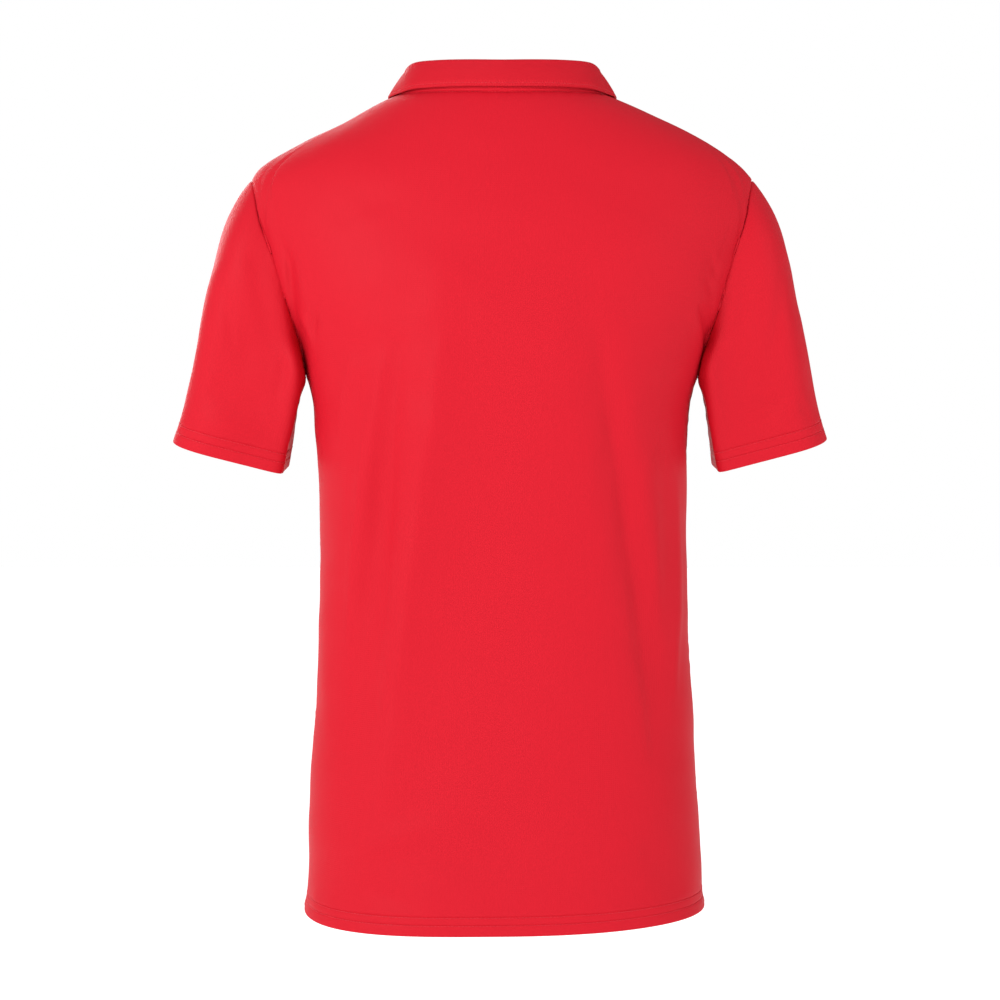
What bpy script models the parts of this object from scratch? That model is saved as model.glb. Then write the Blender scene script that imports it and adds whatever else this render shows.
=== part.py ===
"""Short-sleeved polo shirt, filled out as it is worn, with no wearer.

The wearer faces -Y, and the wearer's left is +X. Lengths are in millimetres and become metres
where a mesh is made. The origin lies at the back neck seam, at the middle of the neck opening.
Each cut piece is one wall of cloth: a grid of points on the outside of the cloth, and the same
grid moved in along its normals by the cloth's thickness.
"""

import math

import bmesh
import bpy
import numpy as np

MM = 0.001

KNIT = 1.5  # thickness of the body knit
BAND = 1.8  # thickness of the collar stand
RIB = 2.2  # thickness of the ribbed leaf
SEAM_GAP = 0.2  # each piece stops this far short of the seam line
MITRE = 1.5  # longest inward step at a seam, in thicknesses

SHOULDER_COLUMNS, NECK_COLUMNS = 6, 18  # quads along a shoulder seam and along half the neck
PANEL_COLUMNS = NECK_COLUMNS + 2 * SHOULDER_COLUMNS  # quads across the back or the front
SIDE_ROWS = 17  # quads up the side seam, from the hem to the underarm
ARM_ROWS = 12  # quads up each half of the armhole
SLEEVE_ROWS = 11  # quads down a sleeve, from the armhole to the cuff
SIDE_CROWD, SLEEVE_CROWD = 0.45, 1.25  # how far these rows draw together towards their ends
FINE_STEPS = 720  # steps of the fine lines from which even ones are measured
SHARP_DEG = 50.0  # edges turned by more than this are drawn sharp
SNAP = 0.02  # points nearer than this are one point of a seam

HEM = -703.0  # height of the hem at the side seam
ARMPIT = -244.0  # height of the bottom of the armhole
ARM_TOP = -72.0  # height of the shoulder point
NECK_SIDE = 1.0  # height of the neck seam at the shoulder seam
ARM_MIDDLE, ARM_HALF = (ARMPIT + ARM_TOP) / 2, (ARM_TOP - ARMPIT) / 2
ARM_BACK, ARM_FRONT = 56.0, 52.0  # how far the armhole reaches behind and before the seam

NECK_ROUND, NECK_CURVE = 0.05, 1.35  # how round the neckline is at its middle and its sides
HANG_POWER = 0.85  # how soon the lower rows dip away from the side seam
HEM_SKEW = 1.8  # how much lower the back hem hangs on the wearer's left than on the right
HEM_RIGHT = 3.0  # how much higher it ends at the right side seam

PLACKET_HALF = 16.0  # half the width of the placket strips
BOX_HALF = 12.0  # half the width of the box cut in the front for them
PLACKET_DROP = 150.0  # length of the placket below the neck seam
STRIP_LIFT = 0.3  # clearance between a strip and the panel that it lies on

BUTTON_RADIUS, BUTTON_THICK = 5.75, 2.6
BUTTON_DROPS = (16.0, 66.0, 116.0)  # down from the neck seam, along the placket
BUTTON_LIFT, BUTTON_RIM, BUTTON_SIDES = 0.4, 0.7, 24
HOLE_RADIUS, HOLE_AWAY, HOLE_SIDES = 0.9, 1.45, 10
PLACKET_FOOT, PLACKET_HEAD = 8.0, 1.6  # strip below the box, and its stop short of the seam

# The whole body at one height: half-widths on the wearer's left and right, where the side seam
# lies, how far the back and front reach at the middle, and how square each one is there.
BODY_COLUMNS = ("z", "left", "right", "seam", "back", "front", "back_square", "front_square")
BODY = (
    (25, 78, 78, -6, 48, -40, 2.0, 2.0),
    (2, 90, 91, -6, 55, -50, 2.0, 2.0),
    (-5, 106, 107, -6, 61, -54, 2.0, 2.0),
    (-15, 123, 130, -6, 68, -58, 2.0, 2.0),
    (-30, 153, 161, -6, 77, -64, 2.0, 2.0),
    (-45, 183, 187, -6, 85, -70, 2.0, 2.0),
    (-60, 208, 207, -6, 91, -76, 2.0, 2.0),
    (-72, 218, 218, -6, 96, -80, 2.0, 2.0),
    (-90, 224, 224, -6, 102, -87, 2.05, 2.05),
    (-107, 226, 226, -6, 107, -93, 2.1, 2.1),
    (-125, 220, 221, -6, 111, -99, 2.2, 2.2),
    (-150, 210, 212, -5, 116, -106, 2.3, 2.3),
    (-185, 194, 197, -4, 121, -114, 2.4, 2.4),
    (-220, 177, 179, -3, 123, -119, 2.5, 2.5),
    (-244, 170, 170, -2, 123, -121, 2.6, 2.5),
    (-252, 166, 167, -2, 123, -121, 2.6, 2.5),
    (-270, 163.5, 163.5, -2, 122, -121, 2.6, 2.5),
    (-302, 161, 161, -2, 119, -121, 2.6, 2.5),
    (-360, 158.5, 160, -2, 113, -119, 2.6, 2.5),
    (-440, 157.5, 161, -2, 109, -116, 2.6, 2.5),
    (-510, 160.5, 164.5, -2, 109, -115, 2.6, 2.5),
    (-573, 165, 167.5, -2, 111, -116, 2.6, 2.5),
    (-646, 168, 172, -2, 114, -118, 2.6, 2.5),
    (-678, 167.5, 173, -2, 115, -119, 2.6, 2.5),
    (-703, 172, 176.5, -2, 116, -120, 2.6, 2.5),
    (-720, 173, 177.5, -2, 116.5, -120.5, 2.6, 2.5),
)

# Height of the middle of each panel at the hem, level with the underarm, and at the neck.
MIDDLE = {"back": (-717.0, -247.0, -1.5), "front": (-714.0, -257.0, -60.0)}

# Sleeve: where the middle of the cuff lies, its two half-widths, and its lean outwards and
# forwards as slopes, on the wearer's left and right.
SLEEVE_COLUMNS = ("side", "cuff_x", "cuff_y", "cuff_z", "half_wide", "half_deep", "out", "forward")
SLEEVES = (
    ("left", 236.5, -20, -310, 50.5, 53, 0.26, 0.14),
    ("right", -234, -20, -308, 51, 53, 0.27, 0.14),
)
SLEEVE_SQUARE = 3.0  # how square the sleeve is in section, 2 being an ellipse
FOLD_SQUARE = 9.0  # the same at its back beside the body, where it is folded over
SQUARE_FROM = 0.25  # share of the sleeve's length over which it becomes so
# How the cloth leaves the armhole (out, back, up, and how far it keeps that way) and how it
# reaches the cuff (slope outwards, and how far), round the sleeve from the underarm (0) by the
# back (90) and the shoulder (180).
RUN_COLUMNS = ("turn", "out", "back", "up", "leave", "cuff_out", "arrive")
RUN = (
    (0, 0.66, 0.0, -0.75, 26, 0.18, 70),
    (90, 0.66, 0.10, -0.74, 130, 0.26, 150),
    (180, 0.69, 0.0, -0.72, 184, 0.43, 170),
    (270, 0.66, -0.10, -0.74, 130, 0.26, 150),
    (360, 0.66, 0.0, -0.75, 26, 0.18, 70),
)

# Collar: turn is the angle round the neck seam from the middle of the back (0) to the front
# (180). The stand leans in and rises. The leaf's lower edge lies out from the seam, up from it,
# and along it towards the back, and rests says how much of it lies on the body.
COLLAR_COLUMNS = ("turn", "stand_in", "stand_up", "out", "up", "along", "rests")
COLLAR = (
    (0, 5.5, 22.5, 4.5, 4.5, 0, 0.0),
    (45, 7.5, 22.0, 4.8, 3.0, 0, 0.0),
    (80, 10.5, 18.8, 6.0, 0.5, 0, 0.6),
    (110, 9.5, 17.0, 13.0, -8.0, 2, 1.0),
    (140, 6.5, 19.0, 22.0, -28.0, 9, 1.0),
    (165, 4.0, 20.0, 26.0, -48.0, 24, 1.0),
    (180, 3.0, 20.0, 28.0, -56.0, 41, 1.0),
)
FRONT_SPLIT = 1.5  # half the gap where the collar's two ends meet
STAND_ROWS, STAND_BOW = 3, 0.6  # quads up the stand, and how far it bows out between its edges
LEAF_START = 0.3  # how far above the stand's top edge the leaf begins
ROLL_OUT, ROLL_UP, ROLL_ROWS = 3.2, 1.8, 4  # the leaf's fold: outer radius, rise before it, quads
FALL_ROWS = 5  # quads from the fold down to the leaf's edge
FALL_BOW = 1.2  # how far the leaf bows out between them
LEAF_CLEAR = 0.9  # clearance between the leaf's underside and the body
PROBE = 0.5  # step with which the slope of the body's surface is measured
PUSHES = 6  # steps in which points are moved off the body

# Draping folds: a line on the panel from (x0, z0) to (x1, z1), its rise out of the cloth
# (a trough is negative) and its half-width. It keeps FOLD_ENDS of its rise at its ends, and runs
# out past them over FOLD_FADE half-widths.
FOLD_ENDS, FOLD_FADE = 0.35, 2.5
FOLD_COLUMNS = ("panel", "x0", "z0", "x1", "z1", "rise", "wide")
FOLDS = (
    ("back", 58, -190, 119, -640, 4.5, 17),
    ("back", 97, -250, 121, -560, -4.0, 15),
    ("back", 112, -246, 141, -455, 3.0, 13),
    ("back", -74, -200, -138, -545, -4.5, 14),
    ("back", -98, -230, -150, -500, 3.0, 15),
    ("front", -70, -190, -112, -600, 4.0, 18),
    ("front", 80, -210, 128, -560, -4.0, 16),
    ("front", 100, -230, 140, -420, 3.0, 14),
)

# Sleeve folds: from (turn0, down0) to (turn1, down1), down being the share of the sleeve's
# length below the armhole.
SLEEVE_FOLD_COLUMNS = ("side", "turn0", "down0", "turn1", "down1", "rise", "wide")
SLEEVE_FOLDS = (
    ("left", 65, 0.25, 110, 0.75, -2.5, 14),
    ("left", 130, 0.30, 140, 0.85, 3.0, 16),
    ("left", 235, 0.25, 260, 0.80, -3.0, 15),
    ("right", 55, 0.30, 95, 0.85, -3.0, 14),
    ("right", 125, 0.35, 120, 0.90, 3.5, 17),
    ("right", 240, 0.30, 265, 0.80, -3.0, 15),
)
SLEEVE_GIRTH, SLEEVE_LENGTH = 400.0, 200.0  # turns these folds into lengths on the cloth

# Each material's linear colour and its roughness. None is metal.
MATERIALS = {
    "polo_knit": ((0.791, 0.020, 0.037), 0.72),
    "collar_rib": ((0.760, 0.022, 0.040), 0.80),
    "button_resin": ((0.700, 0.018, 0.035), 0.28),
}


# ---- tables and curves ------------------------------------------------------------------


def column(table, names, name):
    return np.array([row[names.index(name)] for row in table])


def rows_of(table, names, first):
    """The table's rows that begin with this value, each as a dictionary."""
    return [dict(zip(names, row)) for row in table if row[0] == first]


def smooth(xs, ys, x):
    """A smooth curve through the points (xs, ys) that doesn't overshoot, read at x."""
    xs, ys = np.asarray(xs, float), np.asarray(ys, float)
    if xs[0] > xs[-1]:
        xs, ys = xs[::-1], ys[::-1]
    step = np.diff(xs)
    slope = np.diff(ys) / step
    inner = np.zeros(len(xs))
    turns = slope[:-1] * slope[1:] > 0
    weight = step[1:] + 2 * step[:-1], 2 * step[1:] + step[:-1]
    below, above = np.where(turns, slope[:-1], 1), np.where(turns, slope[1:], 1)
    mean = (weight[0] + weight[1]) / (weight[0] / below + weight[1] / above)
    inner[1:-1] = np.where(turns, mean, 0)
    inner[0], inner[-1] = slope[0], slope[-1]
    x = np.clip(x, xs[0], xs[-1])
    i = np.clip(np.searchsorted(xs, x, side="right") - 1, 0, len(step) - 1)
    t = (x - xs[i]) / step[i]
    return (
        ys[i] * (1 + 2 * t) * (1 - t) ** 2
        + step[i] * inner[i] * t * (1 - t) ** 2
        + ys[i + 1] * t**2 * (3 - 2 * t)
        + step[i] * inner[i + 1] * t**2 * (t - 1)
    )


def body(name, z):
    return smooth(column(BODY, BODY_COLUMNS, "z"), column(BODY, BODY_COLUMNS, name), z)


def unit(vectors):
    vectors = np.asarray(vectors, float)
    return vectors / np.maximum(np.linalg.norm(vectors, axis=-1, keepdims=True), 1e-9)


# ---- the body's surface -----------------------------------------------------------------


def body_point(panel, turn, z):
    """A point on the body at height z. turn runs from -90 degrees (right seam) to 90 (left)."""
    half = np.where(turn > 0, body("left", z), body("right", z))
    seam = body("seam", z)
    power = 2 / body(panel + "_square", z)
    wide = np.sign(turn) * np.abs(np.sin(turn)) ** power
    deep = np.maximum(np.cos(turn), 0) ** power
    return np.stack([half * wide, seam + (body(panel, z) - seam) * deep, z + 0 * turn], axis=-1)


def side_heights():
    """Heights up the side seam, closer together at the hem and the underarm, where it turns."""
    climb = np.arange(SIDE_ROWS + 1) / SIDE_ROWS
    climb = (1 - SIDE_CROWD) * climb + SIDE_CROWD * (1 - np.cos(math.pi * climb)) / 2
    return HEM + (ARMPIT - HEM) * climb


def armhole_edge(panel):
    """Turn and height of the panel's edge up the armhole, from the underarm to the shoulder."""
    climb = math.pi * np.arange(ARM_ROWS + 1) / ARM_ROWS
    z = ARM_MIDDLE - ARM_HALF * np.cos(climb)
    reach = (ARM_BACK if panel == "back" else ARM_FRONT) * np.sin(climb)
    deep = reach / np.abs(body(panel, z) - body("seam", z))
    return np.arccos(deep ** (body(panel + "_square", z) / 2)), z


def even_steps(panel, turns, heights, columns):
    """Turns and heights at equal steps of cloth along a line on the panel.

    On the front, two of the steps next to the middle stand at the edges of the placket's box.
    """
    points = body_point(panel, turns, heights)
    length = np.concatenate([[0], np.cumsum(np.linalg.norm(np.diff(points, axis=0), axis=1))])
    wanted = np.linspace(0, length[-1], columns + 1)
    if panel == "front":
        right, left = np.interp((-BOX_HALF, BOX_HALF), points[:, 0], length)
        half = columns // 2
        wanted = np.concatenate([np.linspace(0, right, half), [(right + left) / 2],
                                 np.linspace(left, length[-1], half)])
    return np.interp(wanted, length, turns), np.interp(wanted, length, heights)


def lower_rows(panel):
    """Turns and heights of the rows from the hem to the underarm. Each dips at its middle."""
    fine = np.linspace(-math.pi / 2, math.pi / 2, FINE_STEPS + 1)
    middles = np.linspace(*MIDDLE[panel][:2], SIDE_ROWS + 1)
    rows = []
    skew = HEM_SKEW * np.sin(2 * fine) if panel == "back" else 0
    rise = HEM_RIGHT * np.clip(-np.sin(fine), 0, 1) ** 2 - skew
    for z_edge, z_middle in zip(side_heights(), middles):
        heights = z_edge + (z_middle - z_edge) * np.maximum(np.cos(fine), 0) ** HANG_POWER
        heights += rise * ((ARMPIT - z_edge) / (ARMPIT - HEM)) ** 2
        rows.append(even_steps(panel, fine, heights, PANEL_COLUMNS))
    return np.moveaxis(np.array(rows), 1, -1)


def top_edge(panel):
    """Turns and heights along one shoulder seam, the neckline and the other shoulder seam."""
    fine = np.linspace(-math.pi / 2, math.pi / 2, FINE_STEPS + 1)
    away = np.hypot(np.sin(fine), NECK_ROUND) - NECK_ROUND
    away /= math.hypot(1, NECK_ROUND) - NECK_ROUND
    neckline = 1 - np.maximum(1 - away, 0) ** NECK_CURVE
    z_middle = MIDDLE[panel][2]
    turns, heights = even_steps(
        panel, fine, z_middle + (NECK_SIDE - z_middle) * neckline, NECK_COLUMNS)
    shoulder = np.linspace(ARM_TOP, NECK_SIDE, SHOULDER_COLUMNS + 1)[:-1]
    side = np.full(SHOULDER_COLUMNS, math.pi / 2)
    return np.stack([np.concatenate([-side, turns, side]),
                     np.concatenate([shoulder, heights, shoulder[::-1]])], axis=-1)


def upper_rows(panel, bottom):
    """Rows from the underarm to the top edge, filled in evenly between the two armholes."""
    top = top_edge(panel)
    turn, z = armhole_edge(panel)
    right, left = np.stack([-turn, z], axis=-1), np.stack([turn, z], axis=-1)
    u = np.linspace(0, 1, PANEL_COLUMNS + 1)[None, :, None]
    v = np.linspace(0, 1, ARM_ROWS + 1)[:, None, None]
    corners = ((1 - u) * (1 - v) * bottom[0] + u * (1 - v) * bottom[-1]
               + (1 - u) * v * top[0] + u * v * top[-1])
    return (1 - v) * bottom + v * top + (1 - u) * right[:, None] + u * left[:, None] - corners


def fold_rise(folds, x, z):
    """How far the draping folds lift the cloth at each point of a panel."""
    rise = np.zeros(np.shape(x))
    for fold in folds:
        along = np.array([fold["x1"] - fold["x0"], fold["z1"] - fold["z0"]], float)
        length = np.linalg.norm(along)
        along /= length
        down = (x - fold["x0"]) * along[0] + (z - fold["z0"]) * along[1]
        off = ((x - fold["x0"]) * along[1] - (z - fold["z0"]) * along[0]) / fold["wide"]
        past = np.maximum(np.maximum(-down, down - length), 0) / (FOLD_FADE * fold["wide"])
        swell = FOLD_ENDS + (1 - FOLD_ENDS) * np.sin(math.pi * np.clip(down / length, 0, 1))
        rise += fold["rise"] * swell * np.exp(-(off**2) - past**2)
    return rise


def panel_grid(panel):
    """Outer points of the back or the front: rows from the hem up, columns from right to left."""
    lower = lower_rows(panel)
    rows = np.concatenate([lower, upper_rows(panel, lower[-1])[1:]])
    turns, heights = rows[..., 0], rows[..., 1]
    if panel == "front":
        square = body("front_square", heights)
        for step, side in ((-1, "right"), (1, "left")):
            at = (slice(None), PANEL_COLUMNS // 2 + step)
            share = BOX_HALF / body(side, heights[at])
            turns[at] = step * np.arcsin(share ** (square[at] / 2))
    grid = body_point(panel, turns, heights)
    folds = rows_of(FOLDS, FOLD_COLUMNS, panel)
    inside = np.sqrt(np.sin(math.pi * np.linspace(0, 1, grid.shape[1])))
    rise = fold_rise(folds, grid[..., 0], grid[..., 2]) * inside
    return grid + rise[..., None] * grid_normals(grid, panel == "back")


def grid_normals(grid, flip):
    up = np.gradient(grid, axis=0)
    along = np.gradient(grid, axis=1)
    normal = unit(np.cross(along, up))
    return -normal if flip else normal


# ---- sleeves ----------------------------------------------------------------------------


def armhole(side, back, front):
    """The armhole's points, from the underarm up the back to the shoulder and down the front."""
    edge = -1 if side == "left" else 0
    span = slice(SIDE_ROWS, SIDE_ROWS + ARM_ROWS + 1)
    return np.concatenate([back[span, edge], front[span, edge][::-1][1:-1]])


def squared(grid, outward, behind):
    """The sleeve's rings with their corners drawn out, so that its back and front lie flatter."""
    across, deep = grid @ outward, grid @ behind
    share = np.minimum(np.linspace(0, 1, len(grid)) / SQUARE_FROM, 1)[:, None]
    reach = []
    for run in (across, deep):
        high, low = run.max(axis=1, keepdims=True), run.min(axis=1, keepdims=True)
        reach.append((run - (high + low) / 2, (high - low) / 2))
    (u, wide), (v, far) = reach
    round_size = np.hypot(u / wide, v / far)
    power = np.where((u < 0) & (v > 0), FOLD_SQUARE, SLEEVE_SQUARE)
    square_size = (np.abs(u / wide) ** power + np.abs(v / far) ** power) ** (1 / power)
    grow = (share * (round_size / square_size - 1))[..., None]
    return grid + grow * (u[..., None] * outward + v[..., None] * behind)


def sleeve_grid(side, back, front):
    """Rings of the sleeve from the armhole to the cuff; the last column repeats the first."""
    row = rows_of(SLEEVES, SLEEVE_COLUMNS, side)[0]
    sign = 1 if side == "left" else -1
    start = armhole(side, back, front)
    turns = np.arange(len(start)) * 360 / len(start)
    radians = np.radians(turns)
    axis = unit([sign * row["out"], -row["forward"], -1.0])
    outward = unit(np.array([sign, 0, 0]) - axis * axis[0] * sign)
    behind = unit(np.array([0, 1, 0]) - axis * axis[1])
    end = (
        np.array([row["cuff_x"], row["cuff_y"], row["cuff_z"]])
        - outward * row["half_wide"] * np.cos(radians)[:, None]
        + behind * row["half_deep"] * np.sin(radians)[:, None]
    )
    run = {name: smooth(column(RUN, RUN_COLUMNS, "turn"), column(RUN, RUN_COLUMNS, name), turns)
           for name in RUN_COLUMNS[1:]}
    leave = unit(np.stack([sign * run["out"], run["back"], run["up"]], axis=-1))
    leave *= run["leave"][:, None]
    arrive = np.stack([sign * run["cuff_out"], 0 * turns - row["forward"], 0 * turns - 1], axis=-1)
    arrive = unit(arrive) * run["arrive"][:, None]
    rings = []
    for i in range(SLEEVE_ROWS + 1):
        t = (i / SLEEVE_ROWS) ** SLEEVE_CROWD
        rings.append(
            start * (1 + 2 * t) * (1 - t) ** 2
            + leave * t * (1 - t) ** 2
            + end * t**2 * (3 - 2 * t)
            + arrive * t**2 * (t - 1)
        )
    grid = squared(np.array(rings), outward, behind)
    rise = sleeve_rise(side, turns)
    middle = grid.mean(axis=1, keepdims=True)
    return grid + rise[..., None] * unit(grid - middle)


def sleeve_rise(side, turns):
    """How far the folds lift the sleeve's cloth, at each ring and each turn round it."""
    share = np.linspace(0, 1, SLEEVE_ROWS + 1)[:, None] + 0 * turns
    degree = SLEEVE_GIRTH / 360
    folds = [
        {"x0": fold["turn0"] * degree, "z0": fold["down0"] * SLEEVE_LENGTH,
         "x1": fold["turn1"] * degree, "z1": fold["down1"] * SLEEVE_LENGTH,
         "rise": fold["rise"], "wide": fold["wide"]}
        for fold in rows_of(SLEEVE_FOLDS, SLEEVE_FOLD_COLUMNS, side)
    ]
    rise = fold_rise(folds, turns * degree + 0 * share, share * SLEEVE_LENGTH)
    return rise * np.sin(math.pi / 2 * share)


# ---- collar -----------------------------------------------------------------------------


def neck_seam(back, front):
    """Neck seam from the front middle round the wearer's right, the back and the left."""
    half = PANEL_COLUMNS // 2
    first, last = SHOULDER_COLUMNS, PANEL_COLUMNS - SHOULDER_COLUMNS
    box_right, middle, box_left = front[-1, half - 1], front[-1, half], front[-1, half + 1]
    split = FRONT_SPLIT / BOX_HALF
    right = [middle + (box_right - middle) * split, *front[-1, half - 1 : first : -1]]
    left = [*front[-1, last - 1 : half : -1], middle + (box_left - middle) * split]
    return np.array([*right, *back[-1, first : last + 1], *left])


def collar_frame(seam):
    """Direction out of the neck in plan, along the seam towards the back, and the turn."""
    tangent = np.gradient(seam, axis=0) * (1, 1, 0)
    outward = unit(np.stack([-tangent[:, 1], tangent[:, 0], 0 * tangent[:, 0]], axis=-1))
    outward[[0, -1]] = (0, -1, 0)
    turn = np.degrees(np.arccos(np.clip(outward[:, 1], -1, 1)))
    to_back = unit(tangent) * np.where(np.arange(len(seam)) < len(seam) / 2, 1, -1)[:, None]
    return outward, to_back, turn


def collar(name, turn):
    turns = column(COLLAR, COLLAR_COLUMNS, "turn")
    return smooth(turns, column(COLLAR, COLLAR_COLUMNS, name), turn)[:, None]


def stand_grid(seam):
    outward, _, turn = collar_frame(seam)
    up = np.array([0, 0, 1.0])
    top = seam - outward * collar("stand_in", turn) + up * collar("stand_up", turn)
    share = np.linspace(0, 1, STAND_ROWS + 1)[:, None, None]
    return seam + (top - seam) * share + outward * np.sin(math.pi * share) * STAND_BOW


def outside(points):
    """Distance out of the body's surface, to first order, and the direction away from it."""

    def level(at):
        x, y, z = np.moveaxis(at, -1, 0)
        half = np.where(x > 0, body("left", z), body("right", z))
        seam = body("seam", z)
        behind = y > seam
        reach = np.where(behind, body("back", z), body("front", z)) - seam
        square = np.where(behind, body("back_square", z), body("front_square", z))
        return (np.abs(x / half) ** square + np.abs((y - seam) / reach) ** square) ** (1 / square)

    base = level(points)
    steps = PROBE * np.eye(3)
    slope = [(level(points + step) - level(points - step)) / (2 * PROBE) for step in steps]
    slope = np.stack(slope, axis=-1)
    size = np.linalg.norm(slope, axis=-1)
    return (base - 1) / size, slope / size[..., None]


def off_body(points, least, rests):
    """Points moved out to at least this clearance, and in to it where they rest on the body."""
    points = points.copy()
    for _ in range(PUSHES):
        distance, away = outside(points)
        short = least - distance
        short = np.where(short > 0, short, short * rests)
        points += away * short[..., None]
    return points


def leaf_grid(seam, stand):
    """The leaf's visible face: up from the stand, over the fold and down to the leaf's edge."""
    outward, to_back, turn = collar_frame(seam)
    up = np.array([0, 0, 1.0])
    start = stand[-1] - outward * (BAND + SEAM_GAP) + up * LEAF_START
    centre = start + outward * ROLL_OUT + up * ROLL_UP
    edge = (seam + outward * collar("out", turn) + up * collar("up", turn)
            + to_back * collar("along", turn))
    edge = off_body(edge, RIB + LEAF_CLEAR, collar("rests", turn)[:, 0])
    rows = [start]
    for angle in np.linspace(math.pi, 0, ROLL_ROWS + 1):
        rows.append(centre + ROLL_OUT * (outward * math.cos(angle) + up * math.sin(angle)))
    bend = rows[-1] + (edge - rows[-1]) * 0.5 + outward * FALL_BOW + up * FALL_BOW
    for t in np.linspace(0, 1, FALL_ROWS + 1)[1:]:
        rows.append((1 - t) ** 2 * rows[ROLL_ROWS + 1] + 2 * t * (1 - t) * bend + t**2 * edge)
    grid = np.array(rows)
    lower = grid[ROLL_ROWS + 2 : -1]
    grid[ROLL_ROWS + 2 : -1] = off_body(lower, RIB + LEAF_CLEAR, 0.0)
    return grid


# ---- placket ----------------------------------------------------------------------------


def box_row(front):
    """Row of the front at the bottom of the box cut for the placket."""
    middle = front[:, PANEL_COLUMNS // 2, 2]
    return int(np.argmin(np.abs(middle - (middle[-1] - PLACKET_DROP))))


def strip_grid(front, normals):
    """Points and normals of the front under a placket strip, from below the box to the neck."""
    half, low = PANEL_COLUMNS // 2, box_row(front)
    out = []
    for grid in (front, normals):
        spread = (PLACKET_HALF - BOX_HALF) / (front[-1, half - 1, 0] - front[-1, half - 2, 0])
        right = grid[:, half - 1] + (grid[:, half - 2] - grid[:, half - 1]) * spread
        left = grid[:, half + 1] + (grid[:, half + 2] - grid[:, half + 1]) * spread
        wide = np.stack([right, grid[:, half - 1], grid[:, half], grid[:, half + 1], left], axis=1)
        rows = wide[low - 1 :].copy()
        foot = PLACKET_FOOT / np.linalg.norm(front[low, half] - front[low - 1, half])
        head = PLACKET_HEAD / np.linalg.norm(front[-1, half] - front[-2, half])
        rows[0] = rows[1] + (rows[0] - rows[1]) * foot
        rows[-1] = rows[-1] + (rows[-2] - rows[-1]) * head
        out.append(rows)
    return out[0], unit(out[1])


# ---- meshes -----------------------------------------------------------------------------


def grid_faces(rows, columns, flip, wrap=False, skip=lambda row, col: False):
    """Quads of a grid, as point numbers. wrap joins the last column to the first."""
    faces = []
    for r in range(rows - 1):
        for c in range(columns if wrap else columns - 1):
            if skip(r, c):
                continue
            d = (c + 1) % columns
            quad = (r * columns + c, r * columns + d, (r + 1) * columns + d, (r + 1) * columns + c)
            faces.append(quad[::-1] if flip else quad)
    return faces


def point_normals(points, faces):
    normals = np.zeros_like(points)
    quads = points[np.array(faces)]
    areas = np.cross(quads[:, 2] - quads[:, 0], quads[:, 3] - quads[:, 1])
    for corner in range(4):
        np.add.at(normals, np.array(faces)[:, corner], areas)
    return unit(normals)


def seam_keys(points):
    """Each point rounded, so that the points that two pieces share at a seam are found."""
    return [tuple(key) for key in np.round(points / SNAP).astype(int)]


def open_edges(faces):
    """The sheet's open edges, each as its two point numbers in the order of its face."""
    edges = {edge: None for face in faces for edge in zip(face, face[1:] + face[:1])}
    return [edge for edge in edges if edge[::-1] not in edges]


def seam_step(points, border, normals):
    """How each point on an open edge moves into its piece, to stop the same way short of it."""
    first, last = np.array(border).T
    along = unit(points[last] - points[first])
    total = np.zeros_like(points)
    for end in (first, last):
        np.add.at(total, end, unit(np.cross(normals[end], along)))
    step = unit(total)
    spread = np.ones(len(points))
    for end in (first, last):
        across = np.sum(unit(np.cross(normals[end], along)) * step[end], axis=1)
        np.minimum.at(spread, end, across)
    return step * (SEAM_GAP / np.maximum(spread, 0.5))[:, None]


def cloth_wall(name, points, faces, thickness, normals, material, collection):
    """One closed wall: the sheet, the sheet moved in, and a band round each open edge."""
    own = point_normals(points, faces)
    border = open_edges(faces)
    outer = points + seam_step(points, border, normals)
    lean = np.sum(own * normals, axis=1, keepdims=True)
    inner = outer - normals * thickness / np.maximum(lean, 1 / MITRE)
    count = len(points)
    shell = [tuple(f) for f in faces] + [tuple(i + count for i in f[::-1]) for f in faces]
    keys = seam_keys(points)
    for a, b in border:
        # Both pieces at a seam split this twisted band along the same line.
        if keys[a] < keys[b]:
            shell += [(b, a, b + count), (a, a + count, b + count)]
        else:
            shell += [(b, a, a + count), (b, a + count, b + count)]
    used = sorted({i for face in shell for i in face})
    number = {old: new for new, old in enumerate(used)}
    everything = np.concatenate([outer, inner])[used] * MM
    mesh = bpy.data.meshes.new(name)
    mesh.from_pydata(everything.tolist(), [], [[number[i] for i in face] for face in shell])
    mesh.shade_smooth()
    mesh.set_sharp_from_angle(angle=math.radians(SHARP_DEG))
    return add_object(name, mesh, material, collection)


def add_object(name, mesh, material, collection):
    obj = bpy.data.objects.new(name, mesh)
    mesh.materials.append(bpy.data.materials[material])
    collection.objects.link(obj)
    return obj


def cylinders(name, middles, radius, depth, sides):
    """One mesh of upright cylinders, at these places in plan."""
    mesh = bpy.data.meshes.new(name)
    form = bmesh.new()
    for x, y in middles:
        made = bmesh.ops.create_cone(form, cap_ends=True, segments=sides, radius1=radius * MM,
                                     radius2=radius * MM, depth=depth * MM)
        bmesh.ops.translate(form, verts=made["verts"], vec=(x * MM, y * MM, 0))
    form.to_mesh(mesh)
    form.free()
    return mesh


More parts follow.
